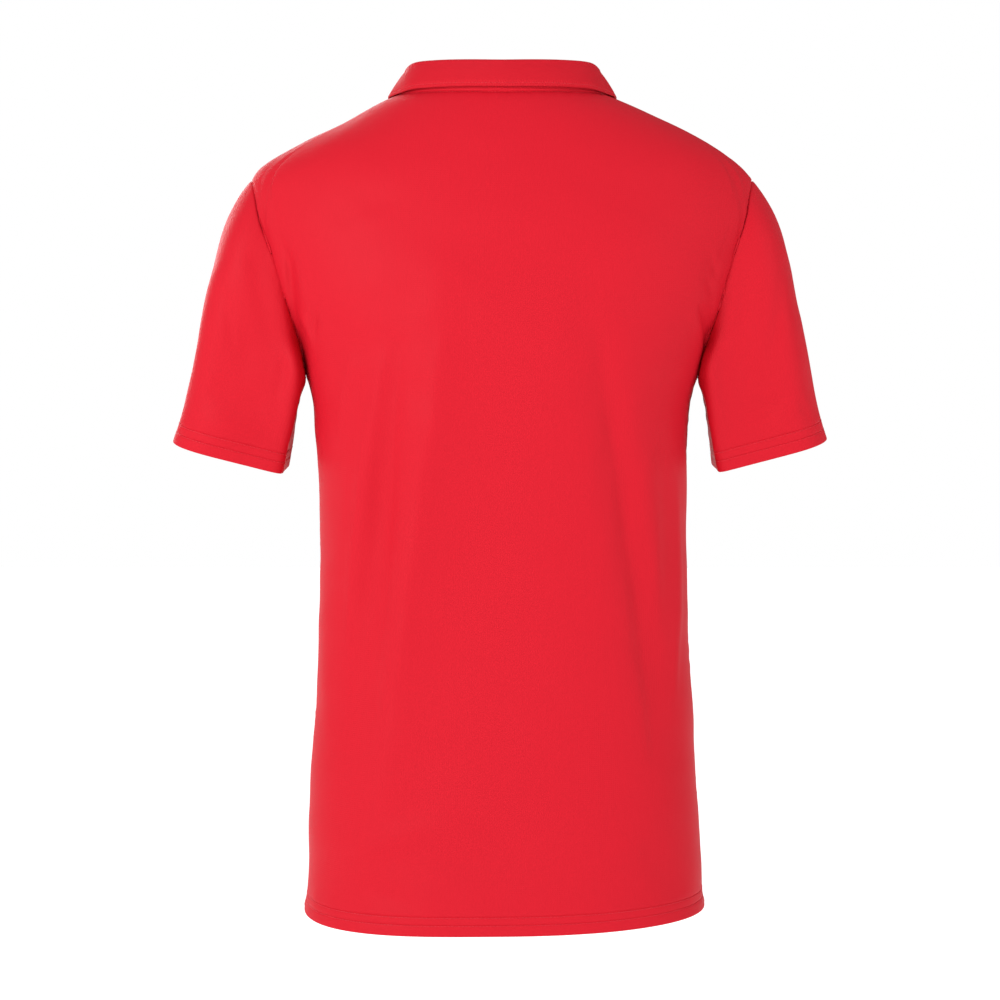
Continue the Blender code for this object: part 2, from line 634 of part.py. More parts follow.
def add_button(name, at, normal, collection, cutters):
    """A round moulded button with four holes, its flat back on the placket."""
    mesh = cylinders(name, [(0, 0)], BUTTON_RADIUS, BUTTON_THICK, BUTTON_SIDES)
    button = add_object(name, mesh, "button_resin", collection)
    corners = [(x * HOLE_AWAY, y * HOLE_AWAY) for x in (-1, 1) for y in (-1, 1)]
    holes = cylinders(name + "_holes", corners, HOLE_RADIUS, 3 * BUTTON_THICK, HOLE_SIDES)
    cutter = bpy.data.objects.new(name + "_holes", holes)
    cutter.hide_render = True
    cutter.display_type = "WIRE"
    cutters.objects.link(cutter)
    cutter.parent = button
    rim = button.modifiers.new("rim", "BEVEL")
    rim.width, rim.segments, rim.limit_method = BUTTON_RIM * MM, 2, "ANGLE"
    cut = button.modifiers.new("holes", "BOOLEAN")
    cut.operation, cut.object, cut.solver = "DIFFERENCE", cutter, "EXACT"
    button.rotation_euler = (math.atan2(-normal[1], normal[2]), 0, 0)
    button.location = (at + normal * (BUTTON_LIFT + BUTTON_THICK / 2)) * MM


def add_material(name):
    colour, roughness = MATERIALS[name]
    material = bpy.data.materials.new(name)
    material.use_nodes = True
    shader = material.node_tree.nodes["Principled BSDF"]
    shader.inputs["Base Color"].default_value = (*colour, 1)
    shader.inputs["Roughness"].default_value = roughness
    material.diffuse_color = (*colour, 1)


def add_collection(name):
    collection = bpy.data.collections.new(name)
    bpy.context.scene.collection.children.link(collection)
    return collection


# ---- the shirt --------------------------------------------------------------------------


def sewn_pieces():
    """The pieces joined by seams: name to (grid, faces, thickness, material)."""
    back, front = panel_grid("back"), panel_grid("front")
    rows, columns = back.shape[:2]
    half, low = columns // 2, box_row(front)

    def in_box(row, col):
        return row >= low and half - 1 <= col <= half

    seam = neck_seam(back, front)
    stand = stand_grid(seam)
    pieces = {
        "back": (back, grid_faces(rows, columns, True), KNIT, "polo_knit"),
        "front": (front, grid_faces(rows, columns, False, skip=in_box), KNIT, "polo_knit"),
        "collar_stand": (stand, grid_faces(*stand.shape[:2], True), BAND, "polo_knit"),
    }
    for side in ("left", "right"):
        sleeve = sleeve_grid(side, back, front)
        faces = grid_faces(*sleeve.shape[:2], side == "right", wrap=True)
        pieces["sleeve_" + side] = (sleeve, faces, KNIT, "polo_knit")
    return pieces


def shared_normals(pieces):
    """Normals of each sewn piece, made one along its seams so that the walls meet in a mitre."""
    total = {}
    for grid, faces, _, _ in pieces.values():
        points = grid.reshape(-1, 3)
        for key, normal in zip(seam_keys(points), point_normals(points, faces)):
            total[key] = total.get(key, 0) + normal
    return {
        name: unit([total[key] for key in seam_keys(grid.reshape(-1, 3))])
        for name, (grid, _, _, _) in pieces.items()
    }


def build():
    for obj in list(bpy.data.objects):
        bpy.data.objects.remove(obj, do_unlink=True)
    for name in MATERIALS:
        add_material(name)
    shirt, cutters = add_collection("polo_shirt"), add_collection("cutters")
    cutters.hide_render = True

    pieces = sewn_pieces()
    normals = shared_normals(pieces)
    for name, (grid, faces, thickness, material) in pieces.items():
        cloth_wall(name, grid.reshape(-1, 3), faces, thickness, normals[name], material, shirt)

    seam = neck_seam(pieces["back"][0], pieces["front"][0])
    leaf = leaf_grid(seam, pieces["collar_stand"][0])
    faces = grid_faces(*leaf.shape[:2], False)
    points = leaf.reshape(-1, 3)
    cloth_wall("collar_leaf", points, faces, RIB, point_normals(points, faces), "collar_rib", shirt)

    front = pieces["front"][0]
    faces = grid_faces(*front.shape[:2], False)
    whole = point_normals(front.reshape(-1, 3), faces).reshape(front.shape)
    points, outward = strip_grid(front, whole)
    flat = points.reshape(-1, 3)
    faces = grid_faces(*points.shape[:2], False)
    steps = {"placket_upper": STRIP_LIFT + KNIT, "placket_under": -STRIP_LIFT - KNIT}
    for name, step in steps.items():
        moved = flat + outward.reshape(-1, 3) * step
        cloth_wall(name, moved, faces, KNIT, outward.reshape(-1, 3), "polo_knit", shirt)

    middle, lifted = points[:, 2], outward[:, 2]
    down = np.concatenate([[0], np.cumsum(np.linalg.norm(np.diff(middle[::-1], axis=0), axis=1))])
    for i, drop in enumerate(BUTTON_DROPS):
        at = [np.interp(drop, down, middle[::-1, axis]) for axis in range(3)]
        normal = unit([np.interp(drop, down, lifted[::-1, axis]) for axis in range(3)])
        at += normal * (STRIP_LIFT + KNIT)
        add_button(f"button_{i + 1}", at, normal, shirt, cutters)


build()
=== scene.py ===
"""Looks of a short-sleeved polo shirt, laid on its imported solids.

Every piece of cloth is a thin shell on the form of its solid. The same sizes and tables give the
coarse grids that the solids have, smooth curves through those grids give fine ones, and creases,
seams, hems and stitching are laid on them. Lengths are in millimetres and become metres where a
mesh is made. The wearer faces -Y, and the wearer's left is +X.
"""

import math

import bmesh
import bpy
import numpy as np
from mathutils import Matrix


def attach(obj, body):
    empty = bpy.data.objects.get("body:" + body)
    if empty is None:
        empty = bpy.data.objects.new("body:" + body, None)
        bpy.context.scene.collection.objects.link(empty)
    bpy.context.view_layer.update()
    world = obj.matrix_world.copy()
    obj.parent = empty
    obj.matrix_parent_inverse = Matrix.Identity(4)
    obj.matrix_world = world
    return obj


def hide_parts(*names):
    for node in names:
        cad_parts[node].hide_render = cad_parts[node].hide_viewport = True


bl_info = {
    "name": "Polo Shirt",
    "version": (1, 0, 0),
    "blender": (4, 5, 0),
    "location": "3D View > Sidebar > Polo Shirt",
    "description": "Builds a short-sleeved polo shirt, filled out as it is worn",
    "category": "Object",
}

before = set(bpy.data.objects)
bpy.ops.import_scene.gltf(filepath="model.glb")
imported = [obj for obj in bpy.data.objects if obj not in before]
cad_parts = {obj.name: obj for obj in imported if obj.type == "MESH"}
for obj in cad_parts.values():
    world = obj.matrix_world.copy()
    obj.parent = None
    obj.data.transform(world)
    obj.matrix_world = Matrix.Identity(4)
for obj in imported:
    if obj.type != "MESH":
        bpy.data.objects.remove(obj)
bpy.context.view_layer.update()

MM = 0.001

KNIT = 1.5  # thickness of the body knit
BAND = 1.8  # thickness of the collar stand
RIB = 2.2  # thickness of the ribbed leaf
SEAM_GAP = 0.2  # each piece stops this far short of the seam line

SHOULDER_COLUMNS, NECK_COLUMNS = 6, 18  # quads along a shoulder seam and along half the neck
PANEL_COLUMNS = NECK_COLUMNS + 2 * SHOULDER_COLUMNS  # quads across the back or the front
SIDE_ROWS = 17  # quads up the side seam, from the hem to the underarm
ARM_ROWS = 12  # quads up each half of the armhole
SLEEVE_ROWS = 11  # quads down a sleeve, from the armhole to the cuff
SIDE_CROWD, SLEEVE_CROWD = 0.45, 1.25  # how far these rows draw together towards their ends
FINE_STEPS = 720  # steps of the fine lines from which even ones are measured
SHARP_DEG = 50.0  # edges turned by more than this are drawn sharp

HEM = -703.0  # height of the hem at the side seam
ARMPIT = -244.0  # height of the bottom of the armhole
ARM_TOP = -72.0  # height of the shoulder point
NECK_SIDE = 1.0  # height of the neck seam at the shoulder seam
ARM_MIDDLE, ARM_HALF = (ARMPIT + ARM_TOP) / 2, (ARM_TOP - ARMPIT) / 2
ARM_BACK, ARM_FRONT = 56.0, 52.0  # how far the armhole reaches behind and before the seam

NECK_ROUND, NECK_CURVE = 0.05, 1.35  # how round the neckline is at its middle and its sides
HANG_POWER = 0.85  # how soon the lower rows dip away from the side seam
HEM_SKEW = 1.8  # how much lower the back hem hangs on the wearer's left than on the right
HEM_RIGHT = 3.0  # how much higher it ends at the right side seam

PLACKET_HALF = 16.0  # half the width of the placket strips
BOX_HALF = 12.0  # half the width of the box cut in the front for them
PLACKET_DROP = 150.0  # length of the placket below the neck seam
STRIP_LIFT = 0.3  # clearance between a strip and the panel that it lies on

BUTTON_RADIUS, BUTTON_THICK = 5.75, 2.6
BUTTON_DROPS = (16.0, 66.0, 116.0)  # down from the neck seam, along the placket
BUTTON_LIFT = 0.4  # room for the thread under a button
HOLE_RADIUS, HOLE_AWAY = 0.9, 1.45  # a button's holes, and their distance from its midlines
PLACKET_FOOT, PLACKET_HEAD = 8.0, 1.6  # strip below the box, and its stop short of the seam

# The whole body at one height: half-widths on the wearer's left and right, where the side seam
# lies, how far the back and front reach at the middle, and how square each one is there.
BODY_COLUMNS = ("z", "left", "right", "seam", "back", "front", "back_square", "front_square")
BODY = (
    (25, 78, 78, -6, 48, -40, 2.0, 2.0),
    (2, 90, 91, -6, 55, -50, 2.0, 2.0),
    (-5, 106, 107, -6, 61, -54, 2.0, 2.0),
    (-15, 123, 130, -6, 68, -58, 2.0, 2.0),
    (-30, 153, 161, -6, 77, -64, 2.0, 2.0),
    (-45, 183, 187, -6, 85, -70, 2.0, 2.0),
    (-60, 208, 207, -6, 91, -76, 2.0, 2.0),
    (-72, 218, 218, -6, 96, -80, 2.0, 2.0),
    (-90, 224, 224, -6, 102, -87, 2.05, 2.05),
    (-107, 226, 226, -6, 107, -93, 2.1, 2.1),
    (-125, 220, 221, -6, 111, -99, 2.2, 2.2),
    (-150, 210, 212, -5, 116, -106, 2.3, 2.3),
    (-185, 194, 197, -4, 121, -114, 2.4, 2.4),
    (-220, 177, 179, -3, 123, -119, 2.5, 2.5),
    (-244, 170, 170, -2, 123, -121, 2.6, 2.5),
    (-252, 166, 167, -2, 123, -121, 2.6, 2.5),
    (-270, 163.5, 163.5, -2, 122, -121, 2.6, 2.5),
    (-302, 161, 161, -2, 119, -121, 2.6, 2.5),
    (-360, 158.5, 160, -2, 113, -119, 2.6, 2.5),
    (-440, 157.5, 161, -2, 109, -116, 2.6, 2.5),
    (-510, 160.5, 164.5, -2, 109, -115, 2.6, 2.5),
    (-573, 165, 167.5, -2, 111, -116, 2.6, 2.5),
    (-646, 168, 172, -2, 114, -118, 2.6, 2.5),
    (-678, 167.5, 173, -2, 115, -119, 2.6, 2.5),
    (-703, 172, 176.5, -2, 116, -120, 2.6, 2.5),
    (-720, 173, 177.5, -2, 116.5, -120.5, 2.6, 2.5),
)

# Height of the middle of each panel at the hem, level with the underarm, and at the neck.
MIDDLE = {"back": (-717.0, -247.0, -1.5), "front": (-714.0, -257.0, -60.0)}

# Sleeve: where the middle of the cuff lies, its two half-widths, and its lean outwards and
# forwards as slopes, on the wearer's left and right.
SLEEVE_COLUMNS = ("side", "cuff_x", "cuff_y", "cuff_z", "half_wide", "half_deep", "out", "forward")
SLEEVES = (
    ("left", 236.5, -20, -310, 50.5, 53, 0.26, 0.14),
    ("right", -234, -20, -308, 51, 53, 0.27, 0.14),
)
SLEEVE_SQUARE = 3.0  # how square the sleeve is in section, 2 being an ellipse
FOLD_SQUARE = 9.0  # the same at its back beside the body, where it is folded over
SQUARE_FROM = 0.25  # share of the sleeve's length over which it becomes so
# How the cloth leaves the armhole (out, back, up, and how far it keeps that way) and how it
# reaches the cuff (slope outwards, and how far), round the sleeve from the underarm (0) by the
# back (90) and the shoulder (180).
RUN_COLUMNS = ("turn", "out", "back", "up", "leave", "cuff_out", "arrive")
RUN = (
    (0, 0.66, 0.0, -0.75, 26, 0.18, 70),
    (90, 0.66, 0.10, -0.74, 130, 0.26, 150),
    (180, 0.69, 0.0, -0.72, 184, 0.43, 170),
    (270, 0.66, -0.10, -0.74, 130, 0.26, 150),
    (360, 0.66, 0.0, -0.75, 26, 0.18, 70),
)

# Collar: turn is the angle round the neck seam from the middle of the back (0) to the front
# (180). The stand leans in and rises. The leaf's lower edge lies out from the seam, up from it,
# and along it towards the back, and rests says how much of it lies on the body.
COLLAR_COLUMNS = ("turn", "stand_in", "stand_up", "out", "up", "along", "rests")
COLLAR = (
    (0, 5.5, 22.5, 4.5, 4.5, 0, 0.0),
    (45, 7.5, 22.0, 4.8, 3.0, 0, 0.0),
    (80, 10.5, 18.8, 6.0, 0.5, 0, 0.6),
    (110, 9.5, 17.0, 13.0, -8.0, 2, 1.0),
    (140, 6.5, 19.0, 22.0, -28.0, 9, 1.0),
    (165, 4.0, 20.0, 26.0, -48.0, 24, 1.0),
    (180, 3.0, 20.0, 28.0, -56.0, 41, 1.0),
)
FRONT_SPLIT = 1.5  # half the gap where the collar's two ends meet
STAND_ROWS, STAND_BOW = 3, 0.6  # quads up the stand, and how far it bows out between its edges
LEAF_START = 0.3  # how far above the stand's top edge the leaf begins
ROLL_OUT, ROLL_UP, ROLL_ROWS = 3.2, 1.8, 4  # the leaf's fold: outer radius, rise before it, quads
FALL_ROWS = 5  # quads from the fold down to the leaf's edge
FALL_BOW = 1.2  # how far the leaf bows out between them
LEAF_CLEAR = 0.9  # clearance between the leaf's underside and the body
PROBE = 0.5  # step with which the slope of the body's surface is measured
PUSHES = 6  # steps in which points are moved off the body

# Draping folds: a line on the panel from (x0, z0) to (x1, z1), its rise out of the cloth
# (a trough is negative) and its half-width. It keeps FOLD_ENDS of its rise at its ends, and runs
# out past them over FOLD_FADE half-widths.
FOLD_ENDS, FOLD_FADE = 0.35, 2.5
FOLD_COLUMNS = ("panel", "x0", "z0", "x1", "z1", "rise", "wide")
FOLDS = (
    ("back", 58, -190, 119, -640, 4.5, 17),
    ("back", 97, -250, 121, -560, -4.0, 15),
    ("back", 112, -246, 141, -455, 3.0, 13),
    ("back", -74, -200, -138, -545, -4.5, 14),
    ("back", -98, -230, -150, -500, 3.0, 15),
    ("front", -70, -190, -112, -600, 4.0, 18),
    ("front", 80, -210, 128, -560, -4.0, 16),
    ("front", 100, -230, 140, -420, 3.0, 14),
)

# Sleeve folds: from (turn0, down0) to (turn1, down1), down being the share of the sleeve's
# length below the armhole.
SLEEVE_FOLD_COLUMNS = ("side", "turn0", "down0", "turn1", "down1", "rise", "wide")
SLEEVE_FOLDS = (
    ("left", 65, 0.25, 110, 0.75, -2.5, 14),
    ("left", 130, 0.30, 140, 0.85, 3.0, 16),
    ("left", 235, 0.25, 260, 0.80, -3.0, 15),
    ("right", 55, 0.30, 95, 0.85, -3.0, 14),
    ("right", 125, 0.35, 120, 0.90, 3.5, 17),
    ("right", 240, 0.30, 265, 0.80, -3.0, 15),
)
SLEEVE_GIRTH, SLEEVE_LENGTH = 400.0, 200.0  # turns these folds into lengths on the cloth


# ---- sizes of the fine cloth ------------------------------------------------------------

CELL = 5  # fine quads to one quad of the solids' grids
NEAR_SEAM = (0.03, 0.065, 0.11, 0.19, 0.32)  # more columns next to a seam, in quads of the solids
BESIDE_BOX = (0.04, 0.1)  # and next to the box cut for the placket
BOX_EDGE = 0.5  # quads with their middle this close to the box's edge aren't cut out
ROW_STEP = 4.5  # spacing of the fine rows
SEAM_PLACES = (0.0, 0.4, 0.9, 1.6, 2.8, 4.6)  # distances from a seam of the rows next to it
SLEEVE_CELL = 8  # fine quads to one quad of the solids round a sleeve
STRIP_CELL = 8  # and along a placket strip
COLLAR_CELL = 4  # and up the collar's stand and leaf
SLEEVE_PAD = 4  # quads repeated past the underarm, so that the rings close smoothly
ARMHOLE_EASE = 3  # a sleeve leaves the armhole's exact line over one part in this of its length

SEAM_DIP, SEAM_ROLL = 1.1, 0.8  # how deep the cloth turns in at a seam, and over what width
PUCKER, PUCKER_REACH = 0.2, 8.0  # height of the puckers along a seam, and how far they reach
CREASE_FADE = 5.0  # creases die out this close to a seam
CREASE_SWELL = 0.75  # how bluntly a crease swells from its ends, 1 being a plain sine
CREASE_END = 0.7  # its width there, as a share of its full width
SLEEVE_FACING = 2.2  # how soon a sleeve's crease is full on the half that it faces
# A sleeve's seam lies flatter at the cuff: at its least share up to this height above the edge,
# and growing to the whole over this length.
UNDERARM_LEAST, UNDERARM_FROM, UNDERARM_OVER = 0.15, 2.0, 8.0
ALLOWANCE_HIGH = 0.5  # how far the seam allowance at the armhole lifts the panel over it
ALLOWANCE_FROM, ALLOWANCE_WIDE = 1.2, 7.0  # where this begins beside the seam, and where it ends
ALLOWANCE_TOP, ALLOWANCE_EASE = -108.0, 20.0  # how high up it goes, and how gradually it ends

HEM_STITCHES = (9.6, 16.5)  # two rows of coverstitch above the hem
CUFF_STITCHES = (10.4, 18.3)  # and above each cuff
HEM_ROLL = 0.9  # radius of the turned edge
HEM_LAYER = 0.8  # second layer of the turned hem
LAYER_PAST, LAYER_STEP = 1.2, 0.8  # how far past the upper row it goes, and how soon it ends
HEM_FULL = 0.12  # how full the cloth is between the edge and the stitches
HEM_WAVE, HEM_WAVE_REACH = 0.13, 11.0  # height of the waves above a hem, and how far they reach
STITCH_GROOVE, STITCH_HALF = 0.6, 0.6  # depth and half-width of the groove under a stitch row

LEAF_THICK, STAND_THICK, STRIP_THICK = 1.7, 1.0, 1.4  # thicknesses of the shown pieces
STAND_TUCK = (0.6, 2.2)  # how far in and down the stand goes behind the neck seam
SEAM_TUCK = (1.6, 2.2)  # how far in and back an edge goes behind the piece that it is sewn to
LEAF_STITCH = 3.2  # row of stitches above the leaf's edge
STAND_STITCH = 2.4  # row of stitches above the neck seam
STRIP_STITCH = 2.0  # rows of stitches in from the strip's edges
STRIP_FOOT_STITCH = 8.0  # second row across its foot

LEAF_TURN = 0.6  # width over which the leaf's edge turns in
# The edge of each small piece: how deep it is turned in and over what width, where its row of
# stitches lies, and the depth and half-width of the groove under it.
EDGE_COLUMNS = ("piece", "deep", "wide", "row", "groove", "half")
EDGES = (
    ("stand", 1.3, 0.7, STAND_STITCH, 0.35, 0.5),
    ("leaf", 0.7, LEAF_TURN, LEAF_STITCH, 0.3, 0.7),
    ("strip", 0.45, 0.5, STRIP_STITCH, 0.25, 0.6),
)
LEAF_WAVE, LEAF_WAVE_REACH = 0.25, 22.0  # waves in the leaf's lower edge, and how far up they go
LEAF_PRESS, LEAF_PRESS_UP = 1.1, 9.0  # how far its edge lies in at the back, and how far up
LEAF_PRESS_ALONG = 110.0  # how far to each side of the middle of the back it does so
FLAT_BESIDE = 9.0  # how soon the creases of the front begin beside the placket
FLAT_BELOW, FLAT_FADE = 45.0, 30.0  # where they begin below it, and over what length

STITCH_SIDES, STITCH_RINGS = 5, 4  # sides of a thread, and rings along one stitch
STITCH_GAP = 0.1  # share of the stitch length left free at each end
STITCH_RISE, STITCH_SINK = 1.5, 0.9  # how far a stitch stands up and sinks in, in half-widths
STITCH_END = 0.45  # its thickness at its ends, as a share of the thread's
BUTTONHOLE_LONG, BUTTONHOLE_WIDE = 15.0, 1.7  # the ring on which its stitches lie
BAR_COUNT, BAR_HALF = 56, 0.55  # stitches round a buttonhole, and half the length of each
BAR_RADII = (0.14, 0.2, 0.2, 0.14)  # half the thickness of each, from end to end
BUTTON_SIDES, HOLE_SIDES = 48, 20  # flats that make a button and its holes round
RIM_WIDE, DISH_DEEP = 1.5, 0.75  # the button's rim, and the dish inside it
THREAD_IN, THREAD_HIGH = 0.9, 1.25  # how deep in the holes its thread starts, and how far it rises
THREAD_DOWN = 0.6  # how far it runs down below the button
THREAD_APART = 0.3  # how far its two strands lie from the middle of a hole
BUTTON_SHARP_DEG = 38.0  # a button's edges turned by more than this are drawn sharp

# Creases laid on the panels: a path over the panel (x, z), its rise out of the cloth (a
# trough is negative) and its half-width. Two widths are for its sides towards +X and -X.
CREASE_COLUMNS = ("panel", "rise", "wide", "path")
CREASES = (
    ("back", 5.4, (11, 28), ((47, -200), (54, -250), (58, -292), (66, -330), (77, -420), (88, -502),
                             (98, -585), (104, -650))),
    ("back", 4.4, (7, 15), ((97, -214), (106, -270), (115, -325), (124, -400), (130, -480))),
    ("back", -3.2, (15, 8), ((84, -212), (90, -250), (95, -330), (99, -400), (106, -480), (113, -570))),
    ("back", 1.3, 6, ((131, -220), (129, -240), (134, -264), (139, -310))),
    ("back", -1.3, 6, ((116, -224), (122, -262), (129, -312))),
    ("back", 1.2, 7, ((150, -400), (152, -470), (149, -560))),
    ("back", -3.2, (7, 26), ((-78, -200), (-84, -240), (-93, -290), (-101, -334), (-117, -451),
                             (-127, -535), (-130, -580))),
    ("back", -1.8, 6, ((-137, -290), (-140, -380), (-141, -470))),
    ("back", 2.2, 3.5, ((-149, -330), (-151, -430), (-148, -525))),
    ("back", -1.8, 14, ((-118, -640), (-138, -666), (-150, -688))),
    ("back", -1.8, 9, ((118, -668), (97, -684), (66, -691))),
    ("back", 2.0, 11, ((128, -650), (98, -640), (62, -630), (15, -628))),
    ("back", -1.5, 12, ((60, -655), (10, -655), (-50, -652))),
    ("back", 1.4, 12, ((-40, -668), (-85, -660), (-120, -640))),
    ("back", 1.6, 42, ((122, -108), (112, -140), (104, -180))),
    ("back", 1.6, 40, ((38, -130), (36, -170), (34, -215))),
    ("back", 2.2, 40, ((-122, -108), (-114, -140), (-108, -175))),
    ("back", -1.8, 5, ((189, -122), (182, -148), (176, -172))),
    ("back", -0.7, 8, ((150, -92), (130, -118), (118, -140))),
    ("back", 3.2, 3.2, ((173, -182), (170, -193), (165, -204), (163, -222))),
    ("back", -2.8, 3.0, ((155, -189), (160, -198), (162, -210))),
    ("back", -2.4, 3.5, ((-173, -142), (-180, -152), (-184, -162))),
    ("back", -2.0, 3.5, ((-170, -152), (-176, -165), (-182, -180))),
    ("back", -3.2, 3.5, ((-168, -184), (-173, -196), (-176, -212), (-175, -228))),
    ("back", 1.6, 4.0, ((-161, -186), (-167, -200), (-170, -214))),
    ("back", -1.0, 22, ((-150, -225), (-156, -270), (-158, -320))),
    ("front", 1.8, 9, ((-66, -215), (-84, -330), (-100, -450), (-112, -590))),
    ("front", -1.5, 8, ((-92, -250), (-108, -370), (-122, -500))),
    ("front", -1.8, 8, ((74, -220), (94, -330), (112, -440), (128, -560))),
    ("front", 1.3, 7, ((92, -240), (112, -330), (128, -430), (138, -510))),
    ("front", -1.0, 6, ((122, -215), (134, -275), (142, -345))),
    ("front", 0.9, 5, ((-128, -218), (-136, -270), (-141, -330))),
    ("front", 1.6, 7, ((-20, -212), (-30, -290), (-34, -380))),
    ("front", -1.2, 8, ((22, -214), (34, -300), (38, -420))),
    ("front", 2.4, 38, ((-108, -128), (-98, -160), (-92, -195))),
    ("front", 2.2, 38, ((104, -124), (98, -158), (90, -190))),
    ("front", -2.0, 3.4, ((154, -182), (161, -196), (163, -214), (162, -236))),
    ("front", -1.8, 3.4, ((-152, -180), (-160, -196), (-163, -216), (-161, -234))),
    ("front", -1.2, 4, ((170, -138), (164, -156), (160, -172))),
    ("front", -1.1, 4, ((-172, -142), (-166, -160), (-162, -178))),
    ("front", -1.2, 12, ((-120, -652), (-80, -676), (-30, -684))),
    ("front", 1.0, 11, ((30, -640), (80, -648), (122, -664))),
    ("front", -1.1, 12, ((90, -668), (125, -680), (150, -688))),
)

# Creases on the sleeves, on the half that faces the back or the front, as paths over (x, z).
SLEEVE_CREASE_COLUMNS = ("side", "half", "rise", "wide", "path")
SLEEVE_CREASES = (
    ("left", "back", -1.1, 9, ((212, -136), (206, -175), (197, -205), (190, -232))),
    ("left", "back", 0.6, 9, ((226, -128), (221, -170), (216, -215))),
    ("left", "back", -1.6, 5, ((186, -226), (188, -246), (192, -264))),
    ("left", "back", 5.0, 7, ((176, -214), (178, -240), (182, -270), (186, -305), (191, -338))),
    ("left", "back", -1.4, 5, ((238, -168), (234, -196), (231, -222))),
    ("left", "back", -2.0, 13, ((252, -250), (228, -266), (202, -266))),
    ("left", "back", 1.2, 9, ((262, -276), (236, -288), (206, -294))),
    ("left", "front", -2.7, 7, ((206, -140), (202, -180), (196, -222), (192, -256))),
    ("left", "front", 1.8, 8, ((224, -150), (224, -200), (222, -248))),
    ("left", "front", -1.8, 11, ((252, -252), (228, -262), (204, -262))),
    ("right", "back", -1.3, 8, ((-214, -148), (-207, -186), (-200, -232))),
    ("right", "back", 1.0, 10, ((-229, -156), (-223, -210), (-214, -266))),
    ("right", "back", -1.4, 6, ((-240, -150), (-238, -190), (-232, -232))),
    ("right", "back", -1.8, 8, ((-204, -274), (-228, -272), (-252, -258))),
    ("right", "back", -1.2, 4, ((-252, -258), (-260, -272), (-264, -284))),
    ("right", "back", 1.0, 3, ((-236, -124), (-243, -136), (-248, -150))),
    ("right", "back", 5.0, 7, ((-176, -214), (-178, -240), (-182, -270), (-186, -305), (-191, -338))),
    ("right", "front", -2.5, 7, ((-204, -142), (-200, -184), (-195, -226))),
    ("right", "front", 1.7, 9, ((-226, -150), (-224, -205), (-220, -258))),
    ("right", "front", -1.8, 11, ((-254, -254), (-230, -266), (-206, -266))),
)

# Deep hollows at the underarms, where body and sleeve sink in together: the half that each is on,
# its depth, its half-width and its path over (x, z).
HOLLOW_COLUMNS = ("half", "deep", "wide", "path")
HOLLOWS = (
    ("back", 9.0, 5.5, ((181, -138), (179, -172), (174, -204), (169, -236), (165, -256))),
    ("back", 4.5, 4.5, ((-176, -176), (-178, -200), (-174, -228), (-168, -262))),
    ("front", 6.0, 6, ((178, -150), (177, -178), (172, -208), (166, -244))),
    ("front", 6.0, 6, ((-179, -156), (-177, -184), (-172, -212), (-166, -246))),
)
HOLLOW_EASE = 14.0  # how far from the side seams a hollow reaches its full depth

# Soft unevenness all over the cloth: wavelength, direction in degrees, phase and height.
RIPPLES = (
    (148, 78, 0.3, 0.42), (97, 101, 2.1, 0.30), (71, 64, 4.4, 0.20), (58, 118, 1.2, 0.15),
    (43, 88, 5.3, 0.10), (31, 72, 3.6, 0.06),
)
FRONT_SHIFT = 400.0  # the front's is read this far along, so that it differs from the back's

# Uneven waves along a seam, a hem and the leaf's edge: the wave's length over a full turn of 2 pi,
# how far it strays and over what length, and the height, length and start of a second wave on it.
WAVE_COLUMNS = ("line", "long", "stray", "over", "second", "second_long", "start")
WAVES = (
    ("seam", 1.9, 1.3, 13, 0.6, 2.9, 0.7),
    ("hem", 5.2, 1.7, 31, 0.7, 8.3, 2.0),
    ("leaf", 17, 0.8, 41, 0.0, 1.0, 0.0),
)

# Each piece's flat cut: width, length and area in metres, and how the cloth is held.
CUTS = (
    ("back", 0.550, 0.770, 0.355, "draped"),
    ("front", 0.540, 0.745, 0.335, "draped"),
    ("sleeve_left", 0.420, 0.230, 0.062, "draped"),
    ("sleeve_right", 0.420, 0.230, 0.061, "draped"),
    ("collar_stand", 0.520, 0.040, 0.0150, "folded"),
    ("collar_leaf", 0.520, 0.090, 0.0290, "folded"),
    ("placket_upper", 0.034, 0.165, 0.0052, "laid"),
    ("placket_under", 0.034, 0.165, 0.0052, "laid"),
)


# ---- tables and curves ------------------------------------------------------------------


def column(table, names, name):
    """One column of a table, as an array."""
    return np.array([row[names.index(name)] for row in table])


def rows_of(table, names, first):
    """The table's rows that begin with this value, each as a dictionary."""
    return [dict(zip(names, row)) for row in table if row[0] == first]


def smooth(xs, ys, x):
    """A smooth curve through the points (xs, ys) that doesn't overshoot, read at x."""
    xs, ys = np.asarray(xs, float), np.asarray(ys, float)
    if xs[0] > xs[-1]:
        xs, ys = xs[::-1], ys[::-1]
    step = np.diff(xs)
    slope = np.diff(ys) / step
    inner = np.zeros(len(xs))
    turns = slope[:-1] * slope[1:] > 0
    weight = step[1:] + 2 * step[:-1], 2 * step[1:] + step[:-1]
    below, above = np.where(turns, slope[:-1], 1), np.where(turns, slope[1:], 1)
    mean = (weight[0] + weight[1]) / (weight[0] / below + weight[1] / above)
    inner[1:-1] = np.where(turns, mean, 0)
    inner[0], inner[-1] = slope[0], slope[-1]
    x = np.clip(x, xs[0], xs[-1])
    i = np.clip(np.searchsorted(xs, x, side="right") - 1, 0, len(step) - 1)
    t = (x - xs[i]) / step[i]
    return hermite(t, ys[i], step[i] * inner[i], ys[i + 1], step[i] * inner[i + 1])


def hermite(t, start, leave, end, arrive):
    """A curve from start to end with these slopes there, read at t from 0 to 1."""
    return (start * (1 + 2 * t) * (1 - t) ** 2 + leave * t * (1 - t) ** 2
            + end * t**2 * (3 - 2 * t) + arrive * t**2 * (t - 1))


